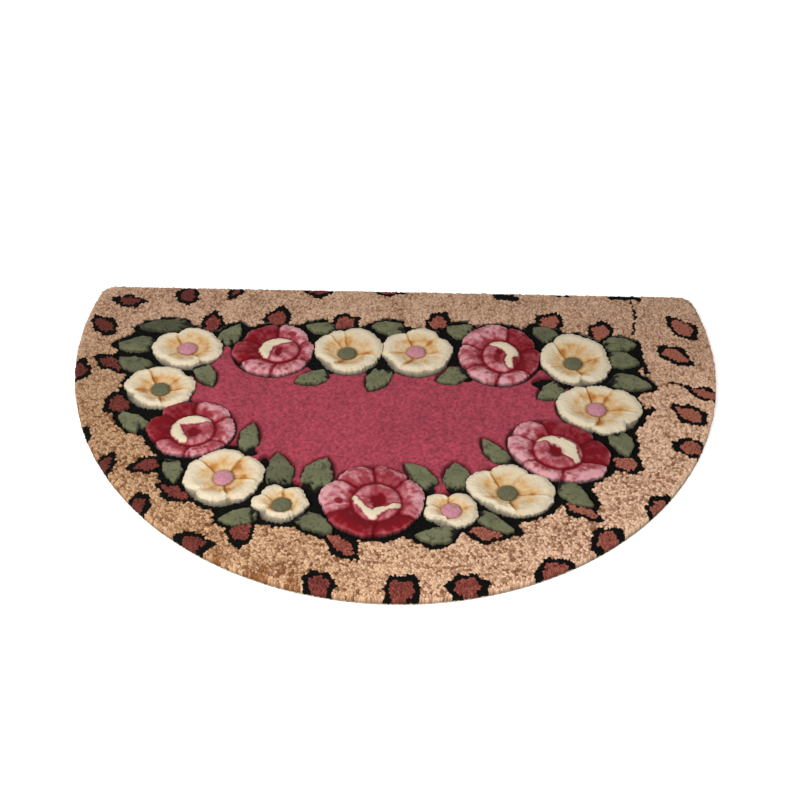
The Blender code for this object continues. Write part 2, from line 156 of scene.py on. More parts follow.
# Where the rows of points of a carved motif lie along its radius
FLOWER_SHARES = np.concatenate([[-0.4, -0.2], np.linspace(0, 0.92, 26), [0.955, 0.98, 1.0]])
CUP_SHARES = np.concatenate([np.linspace(-0.96, -0.12, 22), [-0.08, -0.04, 0, 0.04, 0.08]])
ROSE_SHARES = np.concatenate([CUP_SHARES, np.linspace(0.13, 0.93, 20), [0.96, 0.985, 1.0]])
EYE_SHARES = np.concatenate([np.linspace(0.08, 0.9, 10), [0.96, 1.0]])
LEAF_SHARES = np.concatenate([np.linspace(0.1, 0.8, 8), [0.87, 0.93, 0.97, 1.0]])

# Round motifs: the ellipse of the outline, its tilt, and the middle of the eye or cup
Bloom = namedtuple("Bloom", "x y across deep tilt heart_x heart_y")

# A crease between petals: its direction at the outline, how much it has turned at the heart, how far the
# petal after it reaches past the ellipse, how deep it notches the outline, and how strong it is
Crease = namedtuple("Crease", "turn bend reach notch strength")

# A kind of flower: the radius of its eye, where its honey ring lies as a share of the radius, how wide
# and how strong the ring is, and the profile of the petals
Dish = namedtuple("Dish", "eye middle spread strength profile")
LARGE = Dish(0.0130, 0.34, 0.17, 0.26, FLOWER_PROFILE)
SMALL = Dish(0.0125, 0.22, 0.12, 0.14, BUD_PROFILE)
Flower = namedtuple("Flower", "dish eye bloom creases")
FLOWERS = [
    Flower(LARGE, "pink", Bloom(-294.5, 154, 95, 90, 0, -294, 152), rows(
        Crease, (43, 0, 1, 1.5, 0.35), (118, 14, 1, 7, 0.75), (222, -10, -4, 7, 0.45), (310, 0, 2, 10, 1.0))),
    Flower(LARGE, "green", Bloom(-321, 68, 92, 86, 0, -319, 63), rows(
        Crease, (43, 5, 1, 3, 0.4), (118, 4, 2, 2, 1.0), (195, -22, -5, 9, 0.7), (283, -12, 3, 4, 0.9),
        (358, 2, 2, 0, 0.85))),
    Flower(LARGE, "green", Bloom(-67, 154.5, 91, 99, 0, -69, 148), rows(
        Crease, (97, -5, 2, 3, 0.7), (125, -8, 4, 0, 0.6), (197, 0, -5, 4, 0.0), (232, 16, -4, 6, 1.0),
        (352, 8, 5, 1, 0.8))),
    Flower(LARGE, "pink", Bloom(30, 152.5, 95, 99, 0, 28, 154), rows(
        Crease, (44, 4, 6, 1, 0.5), (110, 2, 4, 3, 0.8), (190, -14, -6, 0, 0.5), (238, 11, -5, 5, 1.0),
        (289, 0, -3, 7, 0.0), (352, 4, 4, 0, 0.3))),
    Flower(LARGE, "green", Bloom(252.5, 144, 95, 109, 6, 248, 135), rows(
        Crease, (20, -4, 1, 2, 0.6), (70, 5, 3, 1, 0.35), (118, 9, 3, 6, 0.9), (200, -5, -1, 1, 0.35),
        (286, 2, 1, 10, 1.0))),
    Flower(LARGE, "pink", Bloom(274, 39, 112, 92, -12, 271, 38), rows(
        Crease, (55, 0, 2, 0, 0.7), (104, 0, 1, 2, 1.0), (200, 0, -3, 1, 0.25), (256, 26, 2, 5, 1.0),
        (322, 0, -2, 7, 0.0), (352, 8, 6, 0, 0.7))),
    Flower(LARGE, "pink", Bloom(-217, -105, 97, 97, 0, -215, -106), rows(
        Crease, (60, -1, 2, 1, 0.9), (138, 0, 0, 3, 0.9), (217, 21, -3, 9, 0.5), (286, -6, 0, 10, 1.0),
        (350, 13, 6, 1, 0.9))),
    Flower(LARGE, "green", Bloom(150.5, -120, 105, 85, -16, 143, -124), rows(
        Crease, (50, 18, 3, 6, 0.3), (118, 12, 7, 4, 0.9), (196, 0, -6, 2, 0.5), (245, 0, -5, 3, 0.0),
        (284, -4, 0, 2, 1.0), (355, 0, 1, 1, 0.9))),
    Flower(SMALL, "green", Bloom(-140, -149, 64, 62, 0, -138, -152), rows(
        Crease, (88, 0, 3, 8, 0.8), (148, 0, 7, 2, 0.5), (203, 0, -6, 9, 0.9), (318, 0, 2, 3, 0.6))),
    Flower(SMALL, "pink", Bloom(74, -155.5, 63, 58, 0, 72, -157), rows(
        Crease, (15, 0, 2, 1, 0.5), (102, 0, 8, 6, 0.9), (165, 0, 7, 0, 0.5), (215, 0, -4, 2, 0.0),
        (250, -5, 1, 8, 0.9))),
]

# A rose: its outline and creases, how deep the red of the petal after each crease is from 0 to 1, the
# half widths and tilt of its cup, how far the cup's middle is from the heart, the strokes of cream yarn
# and the dark patches. A stroke is a row of dabs, a patch one dab, both measured from the heart
Rose = namedtuple("Rose", "bloom creases depths cup strokes patches")
Cup = namedtuple("Cup", "x y across deep tilt")
Dab = namedtuple("Dab", "x y width")
Patch = namedtuple("Patch", "x y across deep tone")
ROSES = [
    Rose(
        Bloom(-173, 154, 113, 113, 0, -167, 149),
        rows(Crease, (30, -4, 1, 3, 0.7), (92, 2, -3, 4, 1.0), (155, -6, 1, 7, 0.8), (205, 6, 0, 5, 1.0),
             (262, 8, 0, 3, 0.8), (335, -6, 0, 2, 0.7)),
        (0.02, 0.86, 0.92, 0.05, 0.02, 0.20),
        Cup(2, 2, 29, 27, 0),
        [rows(Dab, (15, 22, 8), (0, 22, 13), (-13, 13, 15), (-18, 0, 15), (-15, -12, 6))],
        rows(Patch, (2, -1, 9, 19, 1.0), (18, 37, 12, 9, 0.8)),
    ),
    Rose(
        Bloom(-266.5, -14.5, 113, 106, 0, -264, -17),
        rows(Crease, (30, -4, 1, 3, 0.7), (92, 3, 1, 4, 1.0), (150, -5, 2, 5, 0.9), (207, 4, 0, 4, 0.9),
             (262, 6, 0, 3, 0.8), (330, -8, 0, 3, 1.0)),
        (0.08, 0.92, 1.05, 0.38, 0.22, 0.20),
        Cup(-1, -3, 29, 30, 0),
        [rows(Dab, (-16.5, 12, 11), (-1, 17, 14), (15, 17, 8)),
         rows(Dab, (-24, 4, 9), (-21, -9, 13), (-10, -24, 6))],
        rows(Patch, (0, -7, 18, 18, 1.0)),
    ),
    Rose(
        Bloom(145, 151.5, 114, 131, 0, 146, 144),
        rows(Crease, (24, -4, 1, 3, 0.8), (78, -6, 1, 4, 0.9), (150, -5, 1, 4, 0.8), (207, 4, 1, 4, 0.8),
             (262, 6, 0, 3, 0.9), (320, -8, 0, 4, 0.9)),
        (0.85, 0.15, 0.25, 0.05, 0.15, 0.90),
        Cup(2, 2, 27, 35, 0),
        [rows(Dab, (-7, 28.5, 10), (3, 27, 13), (15, 16, 15), (18, 5, 13), (12, -9, 9), (13, -19, 7))],
        rows(Patch, (-0.5, 11, 8, 11, 1.2), (-4, -2, 10, 20, 0.95), (21, -12, 10, 22, 0.9)),
    ),
    Rose(
        Bloom(214, -44, 138, 107, -28, 212, -48),
        rows(Crease, (28, -6, 1, 4, 1.0), (107, -4, 1, 4, 1.0), (150, -4, 0, 4, 0.7), (203, 4, 0, 3, 0.7),
             (272, 6, 0, 3, 0.8), (340, -8, 1, 3, 1.0)),
        (0.90, 0.10, 0.0, 0.05, 0.10, 1.0),
        Cup(0, 0, 33, 31, -30),
        [rows(Dab, (-28.5, 22, 6), (-17, 25, 9), (-7, 24, 12), (7, 8.5, 14), (16, -3, 14), (23, -15, 8)),
         rows(Dab, (7, 22, 4), (20.5, 8.5, 4))],
        rows(Patch, (-3, 1, 18, 22, 1.0)),
    ),
    Rose(
        Bloom(-26.5, -141.5, 127, 121, 0, -22, -138),
        rows(Crease, (42, -6, 1, 3, 0.7), (95, -3, 1, 4, 0.8), (147, -4, 1, 4, 0.8), (205, 4, 0, 4, 1.0),
             (268, 6, 0, 4, 1.0), (325, -8, 1, 3, 1.0)),
        (0.35, 0.34, 0.0, 1.1, 1.1, 0.22),
        Cup(1, -8, 31, 33, 0),
        [rows(Dab, (-27.6, -1, 3), (-15, -20, 6), (-3, -32, 9), (6, -22, 6), (19, -17.5, 4), (30, -14, 4))],
        rows(Patch, (3, -5, 19, 20, 1.2), (-45, -8, 10, 9, 0.9), (17, 40, 12, 10, 0.8)),
    ),
]

# Leaves: the blunt end, the point, the width, and how much light a leaf in the shade still has
Leaf = namedtuple("Leaf", "base_x base_y tip_x tip_y width light", defaults=(1.0,))
LEAVES = rows(
    Leaf, (-306, 209, -370, 200, 26, 0.50), (-347, 161, -394, 163, 34, 0.85),
    (-347, 110, -388, 132, 31, 0.80), (-270, 113, -250, 75, 28), (-243, 172, -226, 212, 27),
    (-334, -14, -364, 18, 28), (-192, -50, -186, 1, 26), (-284, -77, -277, -114, 24),
    (-143, -111, -150, -58, 35, 0.76), (-102, -115, -86, -64, 38), (-171, -168, -214, -177, 26),
    (-111, -169, -74, -198, 26, 0.84), (50, -111, 14, -74, 26), (81, -112, 78, -68, 33),
    (141, -66, 115, -22, 23), (70, -197, 26, -198, 27), (108, -165, 149, -188, 23),
    (213, -110, 251, -143, 29), (296, -11, 303, -52, 28), (225, 84.5, 195, 61, 29),
    (305, 104, 353, 88, 31), (301, 182, 343, 180, 30), (304, 150, 343, 139, 32),
    (226, 192.5, 196, 217, 27, 0.85), (104, 202, 74, 214, 32), (8, 205, -36, 214, 30),
    (-94, 205, -130, 212, 22), (-97, 103, -136, 85, 27), (-18, 111, -35, 71, 30), (92, 111, 57, 94, 31),
)

# The side of a leaf from its blunt end to its point, in the frame and as it is clipped here
LeafSide = namedtuple("LeafSide", "along out")
LEAF_SIDE = rows(LeafSide, (0.0, 0.45), (0.2, 0.90), (0.5, 1.00), (0.8, 0.60))
CLIPPED_SIDE = rows(LeafSide, (-0.14, 0.72), (0.10, 0.96), (0.45, 1.00), (0.74, 0.60))
LEAF_SKEW = 0.13

# Leopard spots: the middle, length, width and direction of the brown heart
Spot = namedtuple("Spot", "x y length width turn")
SPOTS = rows(
    Spot, (-266, 212, 38, 23, 82), (-173, 228, 33, 28, 80), (-75, 220, 30, 28, 40), (60, 224, 32, 28, 70),
    (222, 231, 31, 28, 50), (294, 209, 34, 26, 65), (-371, 32, 36, 27, -60), (-397, 119, 38, 20, -38),
    (-314, -85, 32, 22, 20), (-270, -133, 46, 18, -25), (-184, -196, 38, 25, 84), (-62, -216, 50, 18, -50),
    (113, -193, 38, 23, -12), (232, -148, 48, 20, -36), (299, -65, 30, 27, -30), (-394, 262, 31, 20, 0),
    (-310, 279, 34, 22, 88), (-240, 289, 17, 12, 60), (-116, 293, 28, 13, 0), (-12, 296, 28, 10, 0),
    (-420, 203, 38, 21, -45), (-440, 100, 34, 26, 80), (-370, -86, 28, 19, 75), (-315, -158, 34, 18, 78),
    (-240, -217, 30, 24, -20), (-85, -281, 34, 24, -65), (11, -286, 34, 33, 60), (89, -279, 33, 29, 20),
    (193, -250, 36, 24, 20), (260, -199, 32, 24, 40), (331, -142, 30, 20, 45), (388, -34, 32, 26, -20),
    (396, 32, 40, 25, -42), (427, 75, 42, 18, -20), (394, 158, 42, 24, -38), (414, 221, 42, 27, -62),
)

# The heart of a spot is a lens with waves round it, and its black halo is so many millimetres wide, with
# more at the two points of the lens
Wave = namedtuple("Wave", "amount count shift")
LENS = 1.6
HEART_WAVES = rows(Wave, (0.09, 3, 2.1), (0.06, 5, 1.3))
HEART_LESS = 0.0008
HALO_WIDTH = 7.6
HALO_POINTS = 4.0
HALO_SHARP = 10
HALO_TWIST = 0.25
HALO_WAVES = rows(Wave, (1.3, 2, 2.7), (1.2, 7, 1))
SPOT_REACH = 0.06

# Strays of black yarn: a line from one end to the other and how wide it is
Stray = namedtuple("Stray", "x y end_x end_y width")
STRAYS = rows(
    Stray, (347, 282, 349, 246, 4.0), (349, 246, 341, 205, 4.0), (375, 98, 402, 92, 3.5),
    (348, 42, 306, 2, 8.0), (320, 294, 358, 292, 12.0), (150, 290, 174, 286, 14.0),
    (238, 297, 256, 297, 9.0), (-408, -18, -402, -34, 13.0), (345, 180, 349, 118, 7.0),
)
STRAY_RAGGED = 0.4

# Ovals in the plan: bays of raspberry that run out between leaves, and black that runs in round them
Oval = namedtuple("Oval", "x y across deep turn")
RASPBERRY_BAYS = rows(
    Oval, (-241, 138, 34, 60, 8), (-205, 92, 40, 36, 0), (-124, -92, 16, 56, 14), (61, -98, 12, 62, 10),
    (110, -72, 36, 34, 0), (-68, -84, 20, 30, 0), (-262, 84, 26, 30, -30),
)
BLACK_BAYS = rows(
    Oval, (-103, 122, 44, 26, -30), (-22, 117, 38, 38, 0), (-272, 106, 36, 22, -30),
    (-206, -52, 56, 18, -10), (-166, -96, 18, 64, 0), (-142, -120, 50, 24, 0), (-96, -122, 40, 26, 0),
    (34, -116, 40, 18, -35), (86, -116, 34, 20, 0), (152, -70, 34, 18, -20), (216, 93, 52, 22, 0),
    (98, 108, 18, 26, 0),
)

# Points round a plan outline
BLOOM_POINTS = 40
PETAL_POINTS = 90
OVAL_POINTS = 24
GIRTH_POINTS = 36
CLOTH_POINTS = 240

BIG_PRIMES = (374761393, 668265263, 1442695041)
STIR = 1274126177
WORD = 0xFFFFFFFF
FRACTION = 0xFFFFFF


def hashed(i, j, seed):
    """Numbers from 0 to 1 that look random, one for each pair of whole numbers."""
    first, second, third = BIG_PRIMES
    mixed = (np.asarray(i, np.int64) * first + np.asarray(j, np.int64) * second + seed * third) & WORD
    mixed = ((mixed ^ (mixed >> 13)) * STIR) & WORD
    return ((mixed ^ (mixed >> 16)) & FRACTION) / FRACTION


def noise(x, y, cell, seed):
    """Smooth noise from -1 to 1 over the plan, in lumps about one cell across."""
    u, v = np.asarray(x) / cell, np.asarray(y) / cell
    i, j = np.floor(u).astype(np.int64), np.floor(v).astype(np.int64)
    across, up = ease(u - i), ease(v - j)
    near = hashed(i, j, seed) * (1 - across) + hashed(i + 1, j, seed) * across
    far = hashed(i, j + 1, seed) * (1 - across) + hashed(i + 1, j + 1, seed) * across
    return 2 * (near * (1 - up) + far * up) - 1


def lumps(x, y, table, seed=0):
    """The sum of a table's noises."""
    return sum(lump.amount * noise(x, y, lump.cell, seed + lump.seed) for lump in table)


def waves(table, turn, index):
    """The sum of a table's waves round a spot, shifted from spot to spot."""
    return sum(wave.amount * np.sin(wave.count * turn + wave.shift * index) for wave in table)


def ease(share):
    """A step from 0 to 1 with soft ends."""
    share = np.clip(share, 0, 1)
    return share * share * (3 - 2 * share)


def rise(value, low, high):
    """0 below low and 1 above high, with soft ends between them; low may be the larger."""
    return ease((value - low) / (high - low))


def bell(value, width):
    """1 where the value is 0, falling away to both sides."""
    return np.exp(-((value / width) ** 2))


def profile(steps, share):
    """Heights in metres read from a table of steps, with its corners smoothed."""
    shares = [step.share for step in steps]
    fine = np.linspace(shares[0], shares[-1], PROFILE_SAMPLES)
    level = np.interp(fine, shares, [step.height * MM for step in steps])
    padded = np.pad(level, PROFILE_BLUR, mode="edge")
    window = 2 * PROFILE_BLUR + 1
    return np.interp(share, fine, np.convolve(padded, np.ones(window) / window, mode="valid"))


def around(count):
    """Directions all the way round."""
    return np.linspace(0, math.tau, count, endpoint=False)


def headings(turn):
    """Unit arrows in the given directions."""
    return np.stack([np.cos(turn), np.sin(turn)], -1)


def front_point(turn, inward):
    """A point on the elliptical front of the mat, moved in along its normal."""
    low, high = CAD_BOX
    half = (high.x - low.x) / 2
    widest = high.y - (high.y - low.y - FRONT_REACH)
    outward = np.array((FRONT_REACH * math.cos(turn), half * math.sin(turn)))
    outward = outward / np.hypot(*outward)
    return np.array((half * math.cos(turn), widest + FRONT_REACH * math.sin(turn))) - inward * outward


def mat_outline(inset=0.0):
    """The half-round plan moved in by inset: the front, then the left and the right corner."""
    back = CAD_BOX[1].y
    low, high = 0.0, math.pi / 2
    for _ in range(BISECTIONS):
        middle = (low + high) / 2
        if front_point(middle, CORNER_RADIUS)[1] < back - CORNER_RADIUS:
            low = middle
        else:
            high = middle
    centre = front_point(low, CORNER_RADIUS)
    lean = math.atan2(CAD_BOX[1].x * math.sin(low), FRONT_REACH * math.cos(low))
    turns = low - (math.pi + 2 * low) * np.arange(FRONT_STEPS + 1) / FRONT_STEPS
    front = [front_point(turn, inset) for turn in turns]
    turns = lean + (math.pi / 2 - lean) * np.arange(1, CORNER_STEPS + 1) / CORNER_STEPS
    right = [centre + (CORNER_RADIUS - inset) * np.array((math.cos(turn), math.sin(turn))) for turn in turns]
    left = [np.array((-point[0], point[1])) for point in right]
    return np.array(front + left + right[::-1])


def depth_in_mat(x, y):
    """How far inside the edge of the mat each point is."""
    return -distance_to(mat_outline(), x, y)


def heart_of(bloom):
    """The middle of a bloom's eye or cup."""
    return np.array((bloom.heart_x, bloom.heart_y)) * MM


def edge_reach(bloom, turn):
    """How far a bloom's ellipse is from its heart in each direction."""
    tilt = math.radians(bloom.tilt)
    along = np.array((math.cos(tilt), math.sin(tilt))) * 2 / (bloom.across * MM)
    over = np.array((-math.sin(tilt), math.cos(tilt))) * 2 / (bloom.deep * MM)
    offset = np.array((bloom.heart_x - bloom.x, bloom.heart_y - bloom.y)) * MM
    heading = headings(turn).T
    start = np.array((along @ offset, over @ offset))
    step = np.stack([along @ heading, over @ heading])
    half = start @ step
    length = (step**2).sum(0)
    return (np.sqrt(half**2 + length * (1 - start @ start)) - half) / length


def ray_reach(outline, centre, turn):
    """How far a convex outline is from a point inside it in each direction."""
    found = np.full(len(turn), FAR)
    heading = headings(turn)
    tiny, slack = 1e-12, 1e-6
    for here, there in zip(outline, np.roll(outline, -1, 0)):
        edge = there - here
        cross = heading[:, 0] * edge[1] - heading[:, 1] * edge[0]
        cross = np.where(np.abs(cross) < tiny, tiny, cross)
        gap = here - centre
        reach = (gap[0] * edge[1] - gap[1] * edge[0]) / cross
        along = (gap[0] * heading[:, 1] - gap[1] * heading[:, 0]) / cross
        hit = (reach > 0) & (along >= -slack) & (along <= 1 + slack)
        found = np.where(hit, np.minimum(found, reach), found)
    return found


def clear_reach(outlines, centre, turn):
    """How far one can go from a point before meeting any of the outlines."""
    found = np.full(len(turn), FAR)
    for outline in outlines:
        if np.hypot(*(outline.mean(0) - centre)) < NEAR_EDGE:
            found = np.minimum(found, ray_reach(outline, centre, turn) - MOTIF_CLEARANCE)
    return np.maximum(found, LEAST_REACH)


def bloom_outline(bloom, reach, points):
    """Plan outline of a round motif, from how far its edge is in each direction."""
    turn = around(points)
    return heart_of(bloom) + reach(turn)[:, None] * headings(turn)


def plain_outline(bloom):
    """Plan outline of a round motif's ellipse."""
    return bloom_outline(bloom, lambda turn: edge_reach(bloom, turn), BLOOM_POINTS)


def leaf_line(leaf):
    """The blunt end of a leaf and the arrow from there to its point."""
    base = np.array((leaf.base_x, leaf.base_y)) * MM
    return base, np.array((leaf.tip_x, leaf.tip_y)) * MM - base


def leaf_outline(leaf, sides=LEAF_SIDE, skew=0.0):
    """Plan outline of a leaf, round its point from one side to the other."""
    base, length = leaf_line(leaf)
    across = np.array((-length[1], length[0])) / np.hypot(*length) * leaf.width / 2 * MM
    right = [base + length * (side.along + skew) - across * side.out for side in sides]
    left = [base + length * (side.along - skew) + across * side.out for side in sides]
    return np.array(right + [base + length] + left[::-1])


def clipped_leaf(leaf):
    """A leaf as it is clipped: wide under its flower, a sharp point, and a little lopsided."""
    return leaf_outline(leaf, CLIPPED_SIDE, LEAF_SKEW * math.sin(leaf.base_x + leaf.tip_y))


def oval_outline(oval):
    """Plan outline of an oval."""
    turn = around(OVAL_POINTS)
    lean = math.radians(oval.turn)
    u, v = oval.across * MM / 2 * np.cos(turn), oval.deep * MM / 2 * np.sin(turn)
    x = oval.x * MM + u * math.cos(lean) - v * math.sin(lean)
    return np.stack([x, oval.y * MM + u * math.sin(lean) + v * math.cos(lean)], 1)


def grown(outline, distance):
    """An anticlockwise outline moved out by distance, with pointed corners kept short."""
    before = outline - np.roll(outline, 1, 0)
    before /= np.hypot(*before.T)[:, None]
    after = np.roll(before, -1, 0)
    first = np.stack([before[:, 1], -before[:, 0]], 1)
    second = np.stack([after[:, 1], -after[:, 0]], 1)
    miter = (first + second) / (1 + (first * second).sum(1))[:, None]
    length = np.hypot(*miter.T)[:, None]
    return outline + miter * np.minimum(1, MITER_LIMIT / length) * distance


def distance_to(outline, x, y):
    """How far each point is outside a closed plan outline, below zero inside it."""
    nearest = np.full(len(x), FAR)
    inside = np.zeros(len(x), bool)
    for here, there in zip(outline, np.roll(outline, -1, 0)):
        edge = there - here
        along = np.clip(((x - here[0]) * edge[0] + (y - here[1]) * edge[1]) / (edge @ edge), 0, 1)
        gap = np.hypot(x - here[0] - along * edge[0], y - here[1] - along * edge[1])
        nearest = np.minimum(nearest, gap)
        if here[1] != there[1]:
            level = ((here[1] > y) != (there[1] > y))
            inside ^= level & (x < here[0] + (y - here[1]) * edge[0] / edge[1])
    return np.where(inside, -nearest, nearest)


def nearest_two(outlines, x, y):
    """The two least distances to many outlines, worked out only near each."""
    first, second = np.full(len(x), FAR), np.full(len(x), FAR)
    for outline in outlines:
        low, high = outline.min(0) - NEAR_POINT, outline.max(0) + NEAR_POINT
        near = (x > low[0]) & (x < high[0]) & (y > low[1]) & (y < high[1])
        found = distance_to(outline, x[near], y[near])
        second[near] = np.minimum(second[near], np.maximum(found, first[near]))
        first[near] = np.minimum(first[near], found)
    return first, second


def oval_distance(ovals, x, y):
    """The distance to the nearest of some ovals."""
    return nearest_two([oval_outline(oval) for oval in ovals], x, y)[0]


BLOOMS = [motif.bloom for motif in FLOWERS + ROSES]
MOTIFS = [plain_outline(bloom) for bloom in BLOOMS] + [leaf_outline(leaf) for leaf in LEAVES]
RING = np.array(sorted(((b.x * MM, b.y * MM) for b in BLOOMS), key=lambda at: math.atan2(at[1], at[0])))


class Plan:
    """Which yarn the maker shot at each point of the plan."""

    def __init__(self, x, y):
        self.motif, second = nearest_two(MOTIFS, x, y)
        field = np.minimum(distance_to(grown(RING, -FIELD_BACK), x, y), oval_distance(RASPBERRY_BAYS, x, y))
        self.field = np.maximum(field, -oval_distance(BLACK_BAYS, x, y))
        ragged = MM * lumps(x, y, RAGGED_EDGE)
        narrow = (self.motif + second - NARROW_GAP) / 2
        wreath = np.minimum(self.motif - BLACK_MARGIN, distance_to(grown(RING, WREATH_OUT), x, y))
        self.wreath = np.minimum(wreath + ragged, narrow)
        self.heart = np.full(len(x), FAR)
        self.halo = np.full(len(x), FAR)
        for index, spot in enumerate(SPOTS):
            self.add_spot(spot, index, x, y)
        for stray in STRAYS:
            line = np.array(((stray.x, stray.y), (stray.end_x, stray.end_y))) * MM
            black = distance_to(line, x, y) - stray.width / 2 * MM + ragged * STRAY_RAGGED
            self.halo = np.minimum(self.halo, black)

    def add_spot(self, spot, index, x, y):
        """Bring in one leopard spot: a lumpy brown lens and a black halo with points at its ends."""
        lean = math.radians(spot.turn)
        dx, dy = x - spot.x * MM, y - spot.y * MM
        u, v = dx * math.cos(lean) + dy * math.sin(lean), dy * math.cos(lean) - dx * math.sin(lean)
        half, side = spot.length * MM / 2, spot.width * MM / 2
        turn = np.arctan2(v / side, u / half)
        size = (np.abs(u / half) ** LENS + np.abs(v / side) ** LENS) ** (1 / LENS)
        size = size / (1 + waves(HEART_WAVES, turn, index))
        away = np.hypot(dx, dy)
        heart = (size - 1) * away / np.maximum(size, 0.01) + HEART_LESS
        points = np.abs(np.cos(turn + HALO_TWIST * math.sin(index))) ** HALO_SHARP
        width = HALO_WIDTH + HALO_POINTS * points + waves(HALO_WAVES, turn, index)
        near = away < SPOT_REACH
        self.heart = np.where(near, np.minimum(self.heart, heart), self.heart)
        self.halo = np.where(near, np.minimum(self.halo, heart - width * MM), self.halo)


BAKE_MAP = "OFBake"
BAKE_MARGIN = 0.01


def make_object(name, points, quads, triangles=(), attributes=None, flat=None, smooth=True):
    """A mesh object from arrays, with number attributes on its points and a bake map."""
    quads = np.asarray(quads, np.int32).reshape(-1, 4)
    triangles = np.asarray(triangles, np.int32).reshape(-1, 3)
    mesh = bpy.data.meshes.new(name)
    mesh.vertices.add(len(points))
    mesh.vertices.foreach_set("co", np.asarray(points, np.float32).ravel())
    corners = np.concatenate([quads.ravel(), triangles.ravel()])
    mesh.loops.add(len(corners))
    mesh.loops.foreach_set("vertex_index", corners)
    starts = np.concatenate([4 * np.arange(len(quads)), 4 * len(quads) + 3 * np.arange(len(triangles))])
    mesh.polygons.add(len(starts))
    mesh.polygons.foreach_set("loop_start", starts.astype(np.int32))
    mesh.update(calc_edges=True)
    mesh.validate()
    for key, values in (attributes or {}).items():
        layer = mesh.attributes.new(key, "FLOAT", "POINT")
        layer.data.foreach_set("value", np.asarray(values, np.float32).ravel())
    if flat is not None:
        low, high = flat.min(0), flat.max(0)
        placed = (flat - low) / (high - low).max() * (1 - 2 * BAKE_MARGIN) + BAKE_MARGIN
        layer = mesh.uv_layers.new(name=BAKE_MAP)
        layer.data.foreach_set("uv", placed[corners].astype(np.float32).ravel())
    if smooth:
        mesh.shade_smooth()
    thing = bpy.data.objects.new(name, mesh)
    bpy.context.scene.collection.objects.link(thing)
    return thing


def seat(thing, finish, node):
    """Give a piece its yarn, let it ride on the mat and stand for its node."""
    thing.data.materials.append(finish.material)
    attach(thing, BODY)
    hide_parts(node)


def grid_faces(count, columns):
    """Quads of a grid of points that closes on itself from the last column to the first."""
    row, column = np.meshgrid(np.arange(count - 1), np.arange(columns), indexing="ij")
    here, below, step = row * columns, (row + 1) * columns, (column + 1) % columns
    return np.stack([here + column, below + column, below + step, here + step], -1).reshape(-1, 4)


# The side of a carved block: how far down each row of points is, how much it bulges in millimetres, and
# whether it stands at the petals' edge (0) or has spread to the edge of the block in the frame (1)
SkirtRow = namedtuple("SkirtRow", "down bulge spread")
SKIRT = rows(SkirtRow, (0.12, 0.3, 0), (0.35, 0.3, 0), (0.65, 0.1, 1), (1.0, -0.6, 1))
SPREAD_INSET = 0.0008
SIDE_LUMPS = 0.0016
SIDE_SPAN = 0.01
SIDE_RAGGED = 0.0011
EYE_RAGGED = 0.0004
PILE_FOOT = 0.0023
EYE_FOOT = 0.009

# Teeth of the outline show from this share of the radius on, and the edge is calmer inside it
CALM_COLUMNS = 9
TEETH_START = 0.75
TEETH_FULL = 0.98


